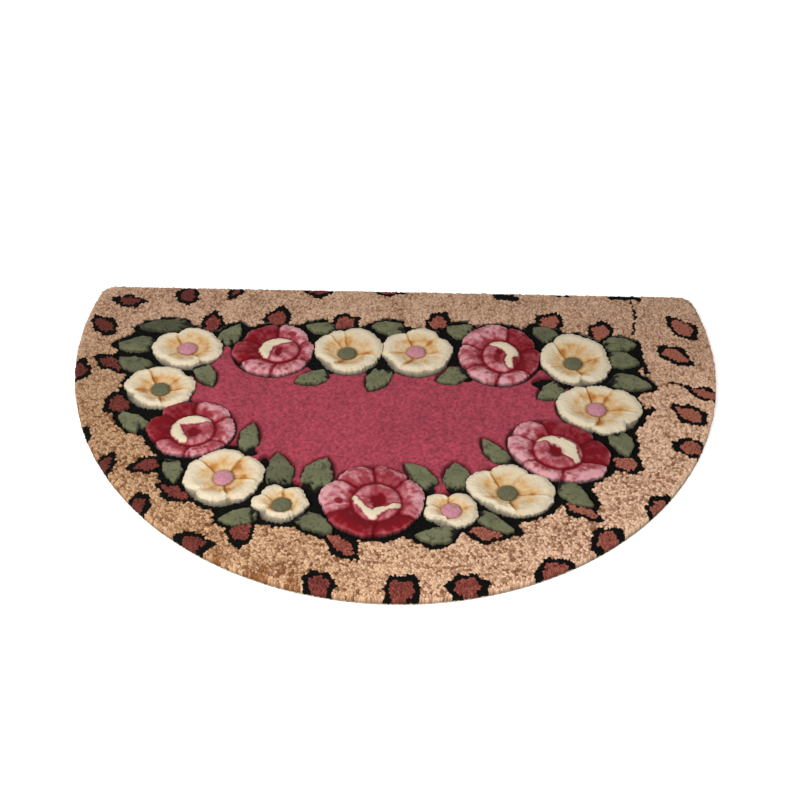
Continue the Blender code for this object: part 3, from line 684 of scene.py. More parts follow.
class Carving:
    """A carved block of pile: rows of points from its middle out to its edge, then down its side."""

    def __init__(self, heart, reach, shares, pitch, core=0.0, block=None):
        girth = math.tau * reach(np.linspace(0, math.tau, GIRTH_POINTS)).mean()
        self.columns = int(girth / pitch)
        self.turn = around(self.columns)
        self.heart = heart
        self.share = np.asarray(shares)[:, None] * np.ones(self.columns)
        self.edge = reach(self.turn)
        self.foot = self.edge
        if block:
            self.foot = np.maximum(self.edge, edge_reach(block, self.turn) - SPREAD_INSET)
        self.core = core(self.turn) if callable(core) else core
        window = np.ones(CALM_COLUMNS) / CALM_COLUMNS
        calm = np.convolve(np.tile(self.edge, 3), window, mode="same")[self.columns:2 * self.columns]
        edge = calm + (self.edge - calm) * rise(self.share, TEETH_START, TEETH_FULL)
        inner = self.core * (1 + self.share)
        outer = self.core + (edge - self.core) * self.share
        self.radius = np.where(self.share < 0, inner, outer)
        self.x = self.heart[0] + self.radius * np.cos(self.turn)
        self.y = self.heart[1] + self.radius * np.sin(self.turn)

    def lumps(self, table, seed):
        """A table's unevenness over the carving."""
        return lumps(self.x, self.y, table, seed)

    def streaks(self, streak, number, seed):
        """Streaks that fan out over the petals."""
        round_heart = self.turn * streak.turns + number * streak.petals
        return noise(round_heart, self.share * streak.along, streak.cell, seed + streak.seed)

    def petals(self, creases):
        """Each point's petal, its nearest crease and how far past that crease it lies, in metres."""
        degrees = np.degrees(self.turn) + 0 * self.share
        bent = 1 - np.clip(self.share, 0, 1)
        past = np.stack([(degrees - crease.turn - crease.bend * bent) % 360 for crease in creases])
        signed = (past + 180) % 360 - 180
        nearest = np.abs(signed).argmin(0)
        off = np.take_along_axis(signed, nearest[None], 0)[0]
        return past.argmin(0), nearest, np.radians(off) * self.radius

    def build(self, name, height, attributes, seed, foot=PILE_FOOT, ragged=SIDE_RAGGED):
        """Make the object: its carved top, a side of uneven yarn down to the foot, and a closed middle."""
        down = np.array([row.down for row in SKIRT])[:, None]
        bulge = np.array([row.bulge for row in SKIRT])[:, None] * MM
        skirt = np.stack([self.foot if row.spread else self.edge for row in SKIRT])
        fray = ragged * noise(self.turn * self.edge.mean(), down * SIDE_SPAN, SIDE_LUMPS, seed)
        radius = np.vstack([self.radius, skirt + bulge + fray])
        z = np.vstack([height, height[-1] + (foot - height[-1]) * down])
        drop = np.abs(height[-1] - z[len(self.radius):])
        unrolled = np.vstack([self.radius, skirt + drop])
        ways = headings(self.turn)
        points = np.concatenate([self.heart + radius[..., None] * ways, z[..., None]], -1).reshape(-1, 3)
        flat = (self.heart + unrolled[..., None] * ways).reshape(-1, 2)
        middle = np.array([[*self.heart, height[0].mean()]])
        first = np.arange(self.columns)
        last = np.full(self.columns, len(points))
        fan = np.stack([last, first, (first + 1) % self.columns], 1)
        full = {}
        for key, values in attributes.items():
            side = np.repeat(values[-1:], len(SKIRT), 0)
            full[key] = np.concatenate([np.vstack([values, side]).ravel(), [values[0].mean()]])
        # How far down the side of the block each point is; the finishes paint shade from this
        side = np.vstack([np.zeros_like(self.radius), down * np.ones(self.columns)])
        full["side"] = np.concatenate([side.ravel(), [0.0]])
        quads = grid_faces(len(radius), self.columns)
        return make_object(name, np.vstack([points, middle]), quads, fan, full, np.vstack([flat, self.heart]))


class Value:
    """A socket of a material's nodes, used in Python expressions; each operator adds its Math node."""

    def __init__(self, finish, socket):
        self.finish = finish
        self.socket = socket

    def maths(self, operation, first, second=0.0):
        return self.finish.node("ShaderNodeMath", {"operation": operation}, {0: first, 1: second})

    def __add__(self, other):
        return self.maths("ADD", self, other)

    def __radd__(self, other):
        return self.maths("ADD", other, self)

    def __sub__(self, other):
        return self.maths("SUBTRACT", self, other)

    def __rsub__(self, other):
        return self.maths("SUBTRACT", other, self)

    def __mul__(self, other):
        return self.maths("MULTIPLY", self, other)

    def __rmul__(self, other):
        return self.maths("MULTIPLY", other, self)

    def clamped(self):
        return self.finish.node("ShaderNodeClamp", {}, {0: self})

    def sine(self):
        return self.maths("SINE", self)

    def at_least(self, low):
        return self.maths("MAXIMUM", self, low)


# How a carved yarn takes the light: the size and strength of its flecks, how bright it is, how much painted
# shade darkens it down the side of its block, and the height of its nap
Pile = namedtuple("Pile", "fleck_size fleck light side nap")
CREAM_PILE = Pile(0.0015, 0.38, 0.80, 1.4, 0.0008)
ROSE_PILE = Pile(0.0015, 0.30, 0.84, 1.4, 0.0006)
EYE_PILE = Pile(0.0013, 0.66, 0.70, 0.5, 0.0007)
LEAF_PILE = Pile(0.0015, 0.74, 0.69, 0.9, 0.0008)
# How much the painted shade and painted highlight held on a mesh as its shade attribute darken or lighten a
# carved yarn
HOLLOW_DARK = 0.45
EYE_MOTTLE = 0.16
LEAF_MOTTLE = 0.20
CREAM_FLECK = 0.22
ROSE_FLECK = 0.26
NAP_SIZE = 0.0011
DARKEST = 0.02
YARN_ROUGHNESS = 0.95
YARN_SHEEN = 0.06
DULL_SHEEN = 0.02
YARN_SPECULAR = 0.05
SHEEN_ROUGHNESS = 0.6


class Finish:
    """One material of cut yarn, with the nodes that give it its colour and nap."""

    def __init__(self, name, roughness=YARN_ROUGHNESS, sheen=YARN_SHEEN):
        self.material = bpy.data.materials.new(name)
        self.material.use_nodes = True
        self.tree = self.material.node_tree
        self.surface = self.tree.nodes["Principled BSDF"]
        self.surface.inputs["Roughness"].default_value = roughness
        self.surface.inputs["Specular IOR Level"].default_value = YARN_SPECULAR
        self.surface.inputs["Sheen Weight"].default_value = sheen
        self.surface.inputs["Sheen Roughness"].default_value = SHEEN_ROUGHNESS

    def node(self, kind, settings, values, output=0):
        """Add a node: its settings first, then the values or links of its sockets."""
        made = self.tree.nodes.new(kind)
        for key, setting in settings.items():
            if key == "stops":
                self.set_stops(made.color_ramp, setting)
            else:
                setattr(made, key, setting)
        for key, value in values.items():
            if isinstance(value, Value):
                self.tree.links.new(value.socket, made.inputs[key])
            else:
                made.inputs[key].default_value = value
        return Value(self, made.outputs[output])

    def set_stops(self, ramp, stops):
        """Fill a colour ramp from pairs of a place and a colour."""
        while len(ramp.elements) < len(stops):
            ramp.elements.new(1.0)
        for element, (place, colour) in zip(ramp.elements, stops):
            element.position = place
            element.color = (*colour[:3], 1.0)

    def attribute(self, name):
        """A number held on the mesh."""
        return self.node("ShaderNodeAttribute", {"attribute_name": name}, {}, "Fac")

    def place(self):
        """Where the shaded point is on the mat."""
        return self.node("ShaderNodeTexCoord", {}, {}, "Object")

    def grain(self, size):
        """Noise from 0 to 1 in lumps of about the given size."""
        return self.node("ShaderNodeTexNoise", {}, {"Vector": self.place(), "Scale": 1 / size, "Detail": 2.0})

    def ramp(self, value, *stops):
        """A colour read from stops by a value."""
        return self.node("ShaderNodeValToRGB", {"stops": stops}, {0: value.clamped()})

    def mix(self, share, first, second, blend="MIX"):
        """Two colours mixed."""
        first = first if isinstance(first, Value) else (*first[:3], 1.0)
        second = second if isinstance(second, Value) else (*second[:3], 1.0)
        settings = {"data_type": "RGBA", "blend_type": blend}
        return self.node("ShaderNodeMix", settings, {0: share, 6: first, 7: second}, 2)

    def dimmed(self, colour, shade):
        """A colour multiplied by a number."""
        colour = colour if isinstance(colour, Value) else tuple(colour[:3])
        grey = self.node("ShaderNodeCombineXYZ", {}, {0: shade, 1: shade, 2: shade})
        return self.node("ShaderNodeVectorMath", {"operation": "MULTIPLY"}, {0: colour, 1: grey})

    def brightness(self, pile, key, amount):
        """How bright a carved yarn is: flecked, with painted shade down its side, and changed by one mesh
        attribute.
        """
        shade = pile.light + self.grain(pile.fleck_size) * pile.fleck
        shade = shade + self.attribute(key) * amount - self.attribute("side") * pile.side
        return shade.at_least(DARKEST)

    def paint(self, colour):
        """Feed the base colour."""
        self.tree.links.new(colour.socket, self.surface.inputs["Base Color"])

    def nap(self, height, distance):
        """Feed a bump of that distance to the normal."""
        values = {"Strength": 1.0, "Distance": distance, "Height": height}
        bump = self.node("ShaderNodeBump", {}, values, "Normal")
        self.tree.links.new(bump.socket, self.surface.inputs["Normal"])


def length_property(name, description, default, lowest=0.0):
    """A property for a length."""
    return FloatProperty(
        name=name, description=description, default=default, min=lowest, unit="LENGTH", subtype="DISTANCE"
    )


def yarn_property(name, description, default):
    """A colour property for one yarn."""
    return FloatVectorProperty(
        name=name, description=description, default=default, size=3, min=0.0, max=1.0, subtype="COLOR"
    )


def angle_property(name, description, default):
    """A property for an angle."""
    return FloatProperty(name=name, description=description, default=default, subtype="ANGLE")


GROUND_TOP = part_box("ground_pile")[1].z + 0.0005
BLACK_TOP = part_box("wreath_pile")[1].z + 0.0004
FIELD_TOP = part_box("field_pile")[1].z


class DoormatSizes(bpy.types.PropertyGroup):
    """Sizes that a user would change."""

    tuft_pitch: length_property("Tuft pitch", "Distance between tufts of the tan ground", 0.0036, 0.003)
    black_pitch: length_property("Black tuft pitch", "Distance between tufts of the wreath", 0.0040, 0.003)
    ground_top: length_property("Ground height", "Height of the tan tufts above the floor", GROUND_TOP)
    black_top: length_property("Black height", "Height of the black tufts above the floor", BLACK_TOP)
    field_top: length_property("Field height", "Height of the raspberry pile above the floor", FIELD_TOP)
    field_pitch: length_property("Field mesh", "Distance between points of the field", 0.00125, 0.001)
    motif_pitch: length_property("Motif mesh", "Distance between points round a carved motif", 0.0014, 0.001)
    crease_depth: length_property("Crease depth", "Depth of the creases between petals", 0.0046)
    crease_width: length_property("Crease width", "Half width of the creases between petals", 0.0019)
    thread_pitch: length_property("Thread pitch", "Distance between threads of the backing cloth", 0.0022)


class DoormatYarns(bpy.types.PropertyGroup):
    """Yarn colours that a user would change."""

    tan_light: yarn_property("Light tan", "Palest tufts of the ground", (0.65, 0.440, 0.300))
    tan: yarn_property("Tan", "Middle tone of the ground", (0.445, 0.264, 0.170))
    tan_dark: yarn_property("Dark tan", "Brown tufts of the ground", (0.20, 0.085, 0.042))
    rust: yarn_property("Rust", "Brown clumps near the front edge", (0.24, 0.096, 0.030))
    golden: yarn_property("Golden", "Tint of the ground at the front left", (0.89, 0.825, 0.68))
    terracotta: yarn_property("Terracotta", "Hearts of the leopard spots", (0.205, 0.043, 0.033))
    terracotta_dark: yarn_property("Dark terracotta", "Spots at the left", (0.115, 0.028, 0.020))
    terracotta_pale: yarn_property("Pale terracotta", "Spots at the right", (0.32, 0.106, 0.069))
    black: yarn_property("Black", "Halos of the spots and the wreath", (0.0028, 0.0028, 0.0020))
    raspberry: yarn_property("Raspberry", "The field", (0.335, 0.043, 0.068))
    # Painted shade: the colour the field darkens to in its groove beside a motif
    groove: yarn_property("Groove", "Shaded roots of the field beside a motif", (0.10, 0.006, 0.010))
    cream: yarn_property("Cream", "Rims of the flowers", (0.665, 0.565, 0.405))
    honey: yarn_property("Honey", "Dishes of the flowers", (0.63, 0.395, 0.175))
    amber: yarn_property("Amber", "Creases of the flowers", (0.42, 0.165, 0.030))
    rose_pale: yarn_property("Pale rose", "Rims of the pale rose petals", (0.62, 0.31, 0.33))
    rose: yarn_property("Rose", "Middle tone of the roses", (0.34, 0.058, 0.074))
    rose_deep: yarn_property("Deep rose", "Deep petals and hearts of the roses", (0.185, 0.005, 0.010))
    sage: yarn_property("Sage", "Leaves", (0.132, 0.134, 0.070))
    pink: yarn_property("Pink", "Pink eyes", (0.46, 0.20, 0.24))
    green: yarn_property("Green", "Green eyes", (0.112, 0.110, 0.060))
    jute: yarn_property("Jute", "Backing cloth", (0.56, 0.48, 0.37))


class DoormatStudio(bpy.types.PropertyGroup):
    """The camera and the lights."""

    lens: FloatProperty(name="Lens", description="Focal length of the camera in millimetres", default=59.76)
    elevation: angle_property("Elevation", "Angle of the camera above the floor", 0.7141254)
    azimuth: angle_property("Azimuth", "Angle of the camera round the mat", -0.0043193)
    roll: angle_property("Roll", "Turn of the camera about its line of sight", 0.0216426)
    distance: length_property("Distance", "From the camera to its target", 1.8137839)
    target: FloatVectorProperty(
        name="Target", description="Point on the floor that the camera looks at",
        default=(0.0064, 0.0638, 0.0), size=3, subtype="XYZ", unit="LENGTH",
    )
    key_power: FloatProperty(name="Key light", description="Power of the key light in watts", default=26.0)
    sky: FloatProperty(name="Sky", description="Strength of the white surroundings", default=0.50)
    floor_glow: FloatProperty(name="Floor glow", description="How much the white floor shines", default=0.45)


def chosen(context):
    """The sizes and yarns set by the user."""
    return context.scene.doormat_sizes, context.scene.doormat_yarns


# A tuft: how far its places are jittered, as a share of the pitch, how uneven its rings and its crown are,
# how far the crown is below the tip, and how wide its rings are on the bake map
TUFT_SIDES = 5
TUFT_EACH = 2 * TUFT_SIDES + 1
TUFT_JITTER = 0.44
RING_UNEVEN = 0.5
CROWN_BELOW = 0.0013
CROWN_UNEVEN = 0.0010
CROWN_LIFT = 0.8
ROOT_MAPPED = 0.52
CROWN_MAPPED = 0.40
TUFT_WIDTH = 0.60
TUFT_FLARE = 0.95
TUFT_LEAN = 0.9
TUFT_DEPTH = 0.0030
Tufts = namedtuple("Tufts", "x y top foot width flare lean tones")


def tuft_lattice(pitch, seed, inset):
    """Places of tufts in uneven staggered rows all over the mat, at least inset from its edge."""
    low, high = CAD_BOX
    rise_of_row = math.sqrt(3) / 2
    count = int((high.y - low.y) / (pitch * rise_of_row)) + 2
    columns = int((high.x - low.x) / pitch) + 2
    row, column = np.meshgrid(np.arange(count), np.arange(columns), indexing="ij")
    row, column = row.ravel(), column.ravel()
    jitter = pitch * TUFT_JITTER
    x = low.x + pitch * (column + row % 2 / 2) + jitter * (hashed(row, column, seed) - 0.5)
    y = low.y + pitch * row * rise_of_row + jitter * (hashed(row, column, seed + 1) - 0.5)
    kept = depth_in_mat(x, y) > inset
    return x[kept], y[kept]


def rim_tufts(inset, pitch):
    """Places of tufts in a row along the edge of the mat, each with the way out."""
    outline = mat_outline(inset)
    closed = np.vstack([outline, outline[:1]])
    run = np.concatenate([[0], np.cumsum(np.hypot(*np.diff(closed, axis=0).T))])
    at = np.arange(0, run[-1], pitch)
    here, ahead = (
        np.stack([np.interp(where, run, closed[:, 0]), np.interp(where, run, closed[:, 1])], 1)
        for where in (at, at + pitch)
    )
    way = ahead - here
    way /= np.maximum(np.hypot(*way.T), 1e-9)[:, None]
    return here, np.stack([-way[:, 1], way[:, 0]], 1)


def only(tufts, kept):
    """The tufts in a mask."""
    tones = {key: values[kept] for key, values in tufts.tones.items()}
    return Tufts(*(values[kept] for values in tufts[:-1]), tones)


def tuft_ring(tufts, radius, level, spread, seed):
    """One ring of points round every tuft, and where they lie on the bake map."""
    number, side = np.arange(len(tufts.x))[:, None], np.arange(TUFT_SIDES)[None]
    turn = hashed(number, 0, seed) * math.tau + side * math.tau / TUFT_SIDES
    turn = turn + RING_UNEVEN * (hashed(number, side + 3, seed + 1) - 0.5)
    uneven_radius = radius[:, None] * (1 + RING_UNEVEN * (hashed(number, side + 7 * level, seed + 2) - 0.5))
    shift = tufts.lean * level * CROWN_LIFT
    z = tufts.foot + (tufts.top - CROWN_BELOW - tufts.foot) * level
    z = z[:, None] + CROWN_UNEVEN * level * (hashed(number, side + 11, seed + 3) - 0.5)
    x = tufts.x[:, None] + shift[:, :1] + uneven_radius * np.cos(turn)
    y = tufts.y[:, None] + shift[:, 1:] + uneven_radius * np.sin(turn)
    flat_x, flat_y = tufts.x[:, None] + spread * np.cos(turn), tufts.y[:, None] + spread * np.sin(turn)
    return np.stack([x, y, z], -1), np.stack([flat_x, flat_y], -1)


def tuft_object(tufts, name, pitch, seed):
    """One mesh of many tufts of cut yarn: a flared root, a shoulder and a tip for each."""
    count, sides = len(tufts.x), TUFT_SIDES
    root, root_flat = tuft_ring(tufts, tufts.flare, 0, pitch * ROOT_MAPPED, seed)
    crown, crown_flat = tuft_ring(tufts, tufts.width, 1, pitch * CROWN_MAPPED, seed)
    tip = np.stack([tufts.x + tufts.lean[:, 0], tufts.y + tufts.lean[:, 1], tufts.top], -1)[:, None]
    points = np.concatenate([root, crown, tip], 1).reshape(-1, 3)
    middle = np.stack([tufts.x, tufts.y], -1)[:, None]
    flat = np.concatenate([root_flat, crown_flat, middle], 1).reshape(-1, 2)
    # How far up its tuft each point is; the finish paints shade at the root from this
    lift = np.tile([0.0] * sides + [CROWN_LIFT] * sides + [1.0], (count, 1))
    side = np.arange(sides)
    after = (side + 1) % sides
    first = np.arange(count)[:, None, None] * TUFT_EACH
    quads = np.stack([side, after, sides + after, sides + side], 1)[None] + first
    caps = np.stack([sides + side, sides + after, np.full(sides, TUFT_EACH - 1)], 1)[None] + first
    attributes = {"lift": lift} | {key: np.repeat(values, TUFT_EACH) for key, values in tufts.tones.items()}
    return make_object(name, points, quads, caps, attributes, flat, smooth=False)


def uneven(count, row, seed):
    """A number from -1 to 1 for each tuft."""
    return 2 * hashed(np.arange(count), row, seed) - 1


def uneven_lean(count, seed):
    """A small lean of each tuft."""
    return TUFT_LEAN * MM * np.stack([uneven(count, 2, seed), uneven(count, 3, seed)], 1)


# Rows of tufts that roll over the edge: how far in, their spacing, how much lower and how far they splay,
# in millimetres, then how unevenly they stand
RimRow = namedtuple("RimRow", "inset step lower splay")
RIM_ROWS = rows(RimRow, (3, 2.7, 2.7, 0.8), (4.4, 3.2, 1.4, 0.7), (6.2, 3.6, 0.4, 0.4))
RIM_OUT = 0.20
RIM_ALONG = 0.30
RIM_LOWER = 0.30
RIM_LEAN = 0.4
LATTICE_INSET = 0.0074
MOTIF_MARGIN = 0.0022

# Heights of the ground's tufts in millimetres, and how much calmer they are in the spots
GROUND_UNEVEN = 0.55
SPOT_CALM = 0.5
HALO_LOWER = 0.4

# Changes of colour over the ground. A fade runs from nothing to all between two distances or places
Fade = namedtuple("Fade", "none all")
SPOT_MIDDLE = 0.42
SPOT_SWEEP = 0.85
SPOT_INSIDE = 0.30
SPOT_EDGE = Fade(0.02, 0.07)
SPOT_MOTTLE = 0.20
RUST_STRENGTH = Fade(-0.2, 0.5)
RUST_BAND = Fade(0.034, 0.010)
RUST_PLACE = -0.165
RUST_SPAN = 0.10
RUST_DARKER = 0.35
RUST_SHARE = 0.70
TONE_MIDDLE = 0.55
SPREAD = 0.36
SPREAD_MORE = 0.20
SPREAD_FRONT = Fade(0.16, -0.12)
PALE_TIPS = 0.40
PALE_BAND = Fade(0.009, 0.003)
PALE_RIGHT = Fade(0.05, 0.30)
PALE_BACK = 0.1
GOLD_LEFT = Fade(0.28, -0.30)
GOLD_FRONT = Fade(0.26, 0.0)
# Painted light over the ground: brighter at the front right, darker at the front left and towards the back
PAINTED_LIGHT = 1.08
PAINTED_LIGHT_RIGHT = 0.19
PAINTED_LIGHT_FRONT = Fade(0.28, 0.0)
PAINTED_SHADE_BACK = 0.10
WIDTH_UNEVEN = 0.08
FRONT_HALF = 0.06


def spot_tone(x, y, mottle):
    """How pale a leopard spot is: darker at the left and along the edge of the mat."""
    inside = SPOT_INSIDE * rise(depth_in_mat(x, y), *SPOT_EDGE)
    return SPOT_MIDDLE + x / SPOT_SWEEP + inside + SPOT_MOTTLE * mottle


def ground_places(sizes):
    """Where the ground's tufts stand: a lattice, then rows that roll over the edge and splay out."""
    x, y = tuft_lattice(sizes.tuft_pitch, 11, LATTICE_INSET)
    place, out = [np.stack([x, y], 1)], [np.zeros((len(x), 2))]
    top, foot = [np.full(len(x), sizes.ground_top)], [np.full(len(x), sizes.ground_top - TUFT_DEPTH)]
    for row in RIM_ROWS:
        at, way = rim_tufts(row.inset * MM, row.step * MM)
        sway, slide, fall = (uneven(len(at), int(row.inset), seed) for seed in (15, 16, 17))
        along = RIM_ALONG * row.step * MM * slide[:, None] * way[:, ::-1] * (1, -1)
        place.append(at + RIM_OUT * MM * sway[:, None] * way + along)
        out.append(way * row.splay * MM)
        top.append(sizes.ground_top - row.lower * MM * (1 + RIM_LOWER * fall))
        foot.append(np.full(len(at), PILE_FOOT))
    return len(x), np.vstack(place).T, np.vstack(out), np.concatenate(top), np.concatenate(foot)


def ground_tufts(sizes):
    """All the tufts of the ground, with the leopard spots as changes of colour among them."""
    pitch = sizes.tuft_pitch
    inner, (x, y), out, top, foot = ground_places(sizes)
    plan = Plan(x, y)
    kept = (plan.wreath > 0) & (plan.field > 0) & (plan.motif > MOTIF_MARGIN)
    count = len(x)
    spot = plan.heart < 0
    black = (plan.halo < 0) & ~spot
    tall = GROUND_UNEVEN * MM * uneven(count, 1, 21) + MM * lumps(x, y, GROUND_SWELL)
    tall = np.where(spot | black, tall * SPOT_CALM - HALO_LOWER * MM * black, tall)
    lean = uneven_lean(count, 23)
    lean[inner:] *= RIM_LEAN
    depth = depth_in_mat(x, y)
    rusty = rise(lumps(x, y, RUST_CLUMPS), *RUST_STRENGTH) * rise(depth, *RUST_BAND)
    rusty = rusty * bell(x - RUST_PLACE, RUST_SPAN) * (y < 0)
    spread = SPREAD + SPREAD_MORE * rise(y, *SPREAD_FRONT)
    mottle = uneven(count, 4, 24)
    tone = TONE_MIDDLE + spread * mottle + lumps(x, y, WIDE_CLUMPS) + spread * lumps(x, y, FINE_CLUMPS)
    tone = tone - RUST_DARKER * rusty
    tone = tone + PALE_TIPS * rise(depth, *PALE_BAND) * rise(x, *PALE_RIGHT) * (y < PALE_BACK)
    across, up = x / CAD_BOX[1].x, y / CAD_BOX[1].y
    tones = {
        "tone": np.where(spot, spot_tone(x, y, mottle), tone),
        "spot": spot.astype(float),
        "black": black.astype(float),
        "rust": rusty,
        # Painted light and shade over the ground, from each tuft's place on the mat
        "sun": PAINTED_LIGHT + PAINTED_LIGHT_RIGHT * across * rise(y, *PAINTED_LIGHT_FRONT) - PAINTED_SHADE_BACK * up,
        "gold": rise(x, *GOLD_LEFT) * rise(y, *GOLD_FRONT),
    }
    width = pitch * (TUFT_WIDTH + WIDTH_UNEVEN * uneven(count, 5, 26))
    flare = np.full(count, pitch * TUFT_FLARE)
    return only(Tufts(x, y, top + tall, foot, width, flare, lean + out, tones), kept)


BLACK_INSET = 0.004
BLACK_OVERLAP = 0.001
SPOT_CLEAR = 0.0045
BLACK_UNEVEN = 0.6
HEART_UNEVEN = 0.3


def wreath_tufts(sizes):
    """The low black tufts between and round the motifs."""
    pitch = sizes.black_pitch
    x, y = tuft_lattice(pitch, 31, BLACK_INSET)
    plan = Plan(x, y)
    kept = (plan.wreath <= 0) & (plan.field > -BLACK_OVERLAP) & (plan.motif > -BLACK_OVERLAP)
    count = len(x)
    spot = (plan.heart < 0) & (plan.motif > SPOT_CLEAR)
    tall = MM * uneven(count, 1, 32)
    top = np.where(spot, sizes.ground_top + HEART_UNEVEN * tall, sizes.black_top + BLACK_UNEVEN * tall)
    foot = np.where(spot, sizes.ground_top, sizes.black_top) - TUFT_DEPTH
    tones = {
        # The wreath gets no painted light
        "tone": spot_tone(x, y, uneven(count, 4, 34)), "spot": spot.astype(float), "black": 1.0 - spot,
        "rust": np.zeros(count), "sun": np.ones(count), "gold": np.zeros(count),
    }
    width, flare = np.full(count, pitch * TUFT_WIDTH), np.full(count, pitch * TUFT_FLARE)
    return only(Tufts(x, y, top, foot, width, flare, uneven_lean(count, 33), tones), kept)


# The ground's yarn: the size of its mottle and how much that changes the tone and the hearts of the spots,
# how bright the hearts are, how dark the painted shade at the roots of the tufts and how bright their tips,
# and its nap
MOTTLE_SIZE = 0.0017
MOTTLE_TONE = 0.8
MOTTLE_HEART = 0.5
HEART_LIGHT = 0.80
ROOT_LIGHT = 0.40
TIP_LIGHT = 0.66
GROUND_NAP_SIZE = 0.0010
GROUND_NAP = 0.0007


def ground_finish(name, yarns):
    """Mottled tan yarn with terracotta and black where the spots are, painted light over the ground, and
    painted shade at the roots of the tufts.
    """
    finish = Finish(name, sheen=DULL_SHEEN)
    mottle = finish.grain(MOTTLE_SIZE)
    tone = finish.attribute("tone") + (mottle - 0.5) * MOTTLE_TONE
    tan = finish.ramp(tone, (0.0, yarns.tan_dark), (0.40, yarns.tan), (1.0, yarns.tan_light))
    tan = finish.mix(finish.attribute("gold"), tan, yarns.golden, "MULTIPLY")
    tan = finish.mix(finish.attribute("rust") * RUST_SHARE, tan, yarns.rust)
    # Painted light and shade over the ground multiply the tan
    tan = finish.dimmed(tan, finish.attribute("sun"))
    stops = ((0.1, yarns.terracotta_dark), (0.5, yarns.terracotta), (0.9, yarns.terracotta_pale))
    heart = finish.dimmed(finish.ramp(tone, *stops), HEART_LIGHT + mottle * MOTTLE_HEART)
    colour = finish.mix(finish.attribute("spot"), tan, heart)
    colour = finish.mix(finish.attribute("black"), colour, yarns.black)
    # Painted shade: each tuft darker at its root, in the crevices between tufts, and lighter towards its tip
    finish.paint(finish.dimmed(colour, ROOT_LIGHT + finish.attribute("lift") * TIP_LIGHT))
    finish.nap(finish.grain(GROUND_NAP_SIZE), GROUND_NAP)
    return finish


# Rings of points of the backing cloth, from the middle of its underside round the edge to the middle of
# its top: how far out, how far up, and the side of the cloth for the bake map
ClothRing = namedtuple("ClothRing", "share level top")
CLOTH_RINGS = rows(
    ClothRing, (0.02, 0, 0), (0.25, 0, 0), (0.5, 0, 0), (0.75, 0, 0), (0.93, 0, 0), (0.998, 0, 0),
    (1.0, 0.2, 0), (1.0, 0.8, 1), (0.998, 1, 1), (0.93, 1, 1), (0.75, 1, 1), (0.5, 1, 1), (0.25, 1, 1),
    (0.02, 1, 1),
)
THREAD_SHADE = 0.6
THREAD_GRAIN = 0.0012
THREAD_FUZZ = 0.4
THREAD_NAP = 0.0004


class DOORMAT_OT_backing(bpy.types.Operator):
    """Lay the backing cloth"""

    bl_idname = "doormat.backing"
    bl_label = "Backing cloth"

    def execute(self, context):
        sizes, yarns = chosen(context)
        low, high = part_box("backing_cloth")
        turn = around(CLOTH_POINTS)
        reach = ray_reach(mat_outline(), np.zeros(2), turn)
        points, flat = [], []
        for row in CLOTH_RINGS:
            ring = (reach * row.share)[:, None] * headings(turn)
            points.append(np.column_stack([ring, np.full(len(turn), low.z + (high.z - low.z) * row.level)]))
            flat.append(ring + np.array((1.0, 0.0)) * row.top)
        quads = grid_faces(len(CLOTH_RINGS), len(turn))[:, ::-1]
        points, flat = np.vstack(points), np.vstack(flat)
        cloth = make_object("backing_cloth_weave", points, quads, flat=flat, smooth=False)
        finish = Finish("jute backing", roughness=0.9, sheen=0.1)
        turns = math.pi / sizes.thread_pitch
        across, up = (finish.node("ShaderNodeSeparateXYZ", {}, {0: finish.place()}, way) for way in (0, 1))
        weave = (across * turns).sine() * (up * turns).sine() * 0.5 + 0.5
        thread = finish.grain(THREAD_GRAIN)
        shaded = [part * THREAD_SHADE for part in yarns.jute]
        finish.paint(finish.ramp(weave * 0.5 + thread * 0.5, (0.2, shaded), (0.8, yarns.jute)))
        finish.nap(weave + thread * THREAD_FUZZ, THREAD_NAP)
        seat(cloth, finish, "backing_cloth")
        return {"FINISHED"}


class DOORMAT_OT_ground(bpy.types.Operator):
    """Shoot the tan ground with its leopard spots"""

    bl_idname = "doormat.ground"
    bl_label = "Tan ground"

    def execute(self, context):
        sizes, yarns = chosen(context)
        tufts = ground_tufts(sizes)
        finish = ground_finish("tan and leopard yarn", yarns)
        front = tufts.y < FRONT_HALF
        for name, kept in (("ground_tufts_front", front), ("ground_tufts_back", ~front)):
            piece = tuft_object(only(tufts, kept), name, sizes.tuft_pitch, 41)
            seat(piece, finish, "ground_pile")
        return {"FINISHED"}


class DOORMAT_OT_wreath(bpy.types.Operator):
    """Shoot the low black pile of the wreath"""

    bl_idname = "doormat.wreath"
    bl_label = "Black wreath"

    def execute(self, context):
        sizes, yarns = chosen(context)
        piece = tuft_object(wreath_tufts(sizes), "wreath_tufts", sizes.black_pitch, 42)
        seat(piece, ground_finish("black yarn", yarns), "wreath_pile")
        return {"FINISHED"}


# The raspberry pile: how far its mesh is looked for beyond the box, how far it runs in under a motif, the
# depth of the groove, and how far from a motif the groove and its shade end
FIELD_SPARE = 0.03
FIELD_UNDER = 0.0035
GROOVE_DEPTH = 0.0054
GROOVE_WALL = Fade(0.0002, 0.0040)
GROOVE_SHADE = Fade(0.0000, 0.0068)

# The raspberry yarn: how bright it is, how much its nap, the sweep of a hand and its flecks change that
VELVET_LIGHT = 0.70
VELVET_NAP = 0.52
VELVET_SWEEP = 0.06
VELVET_FLECK = 0.60
VELVET_FLECK_SIZE = 0.0016
VELVET_BUMP_SIZE = 0.0013
VELVET_BUMP = 0.0009


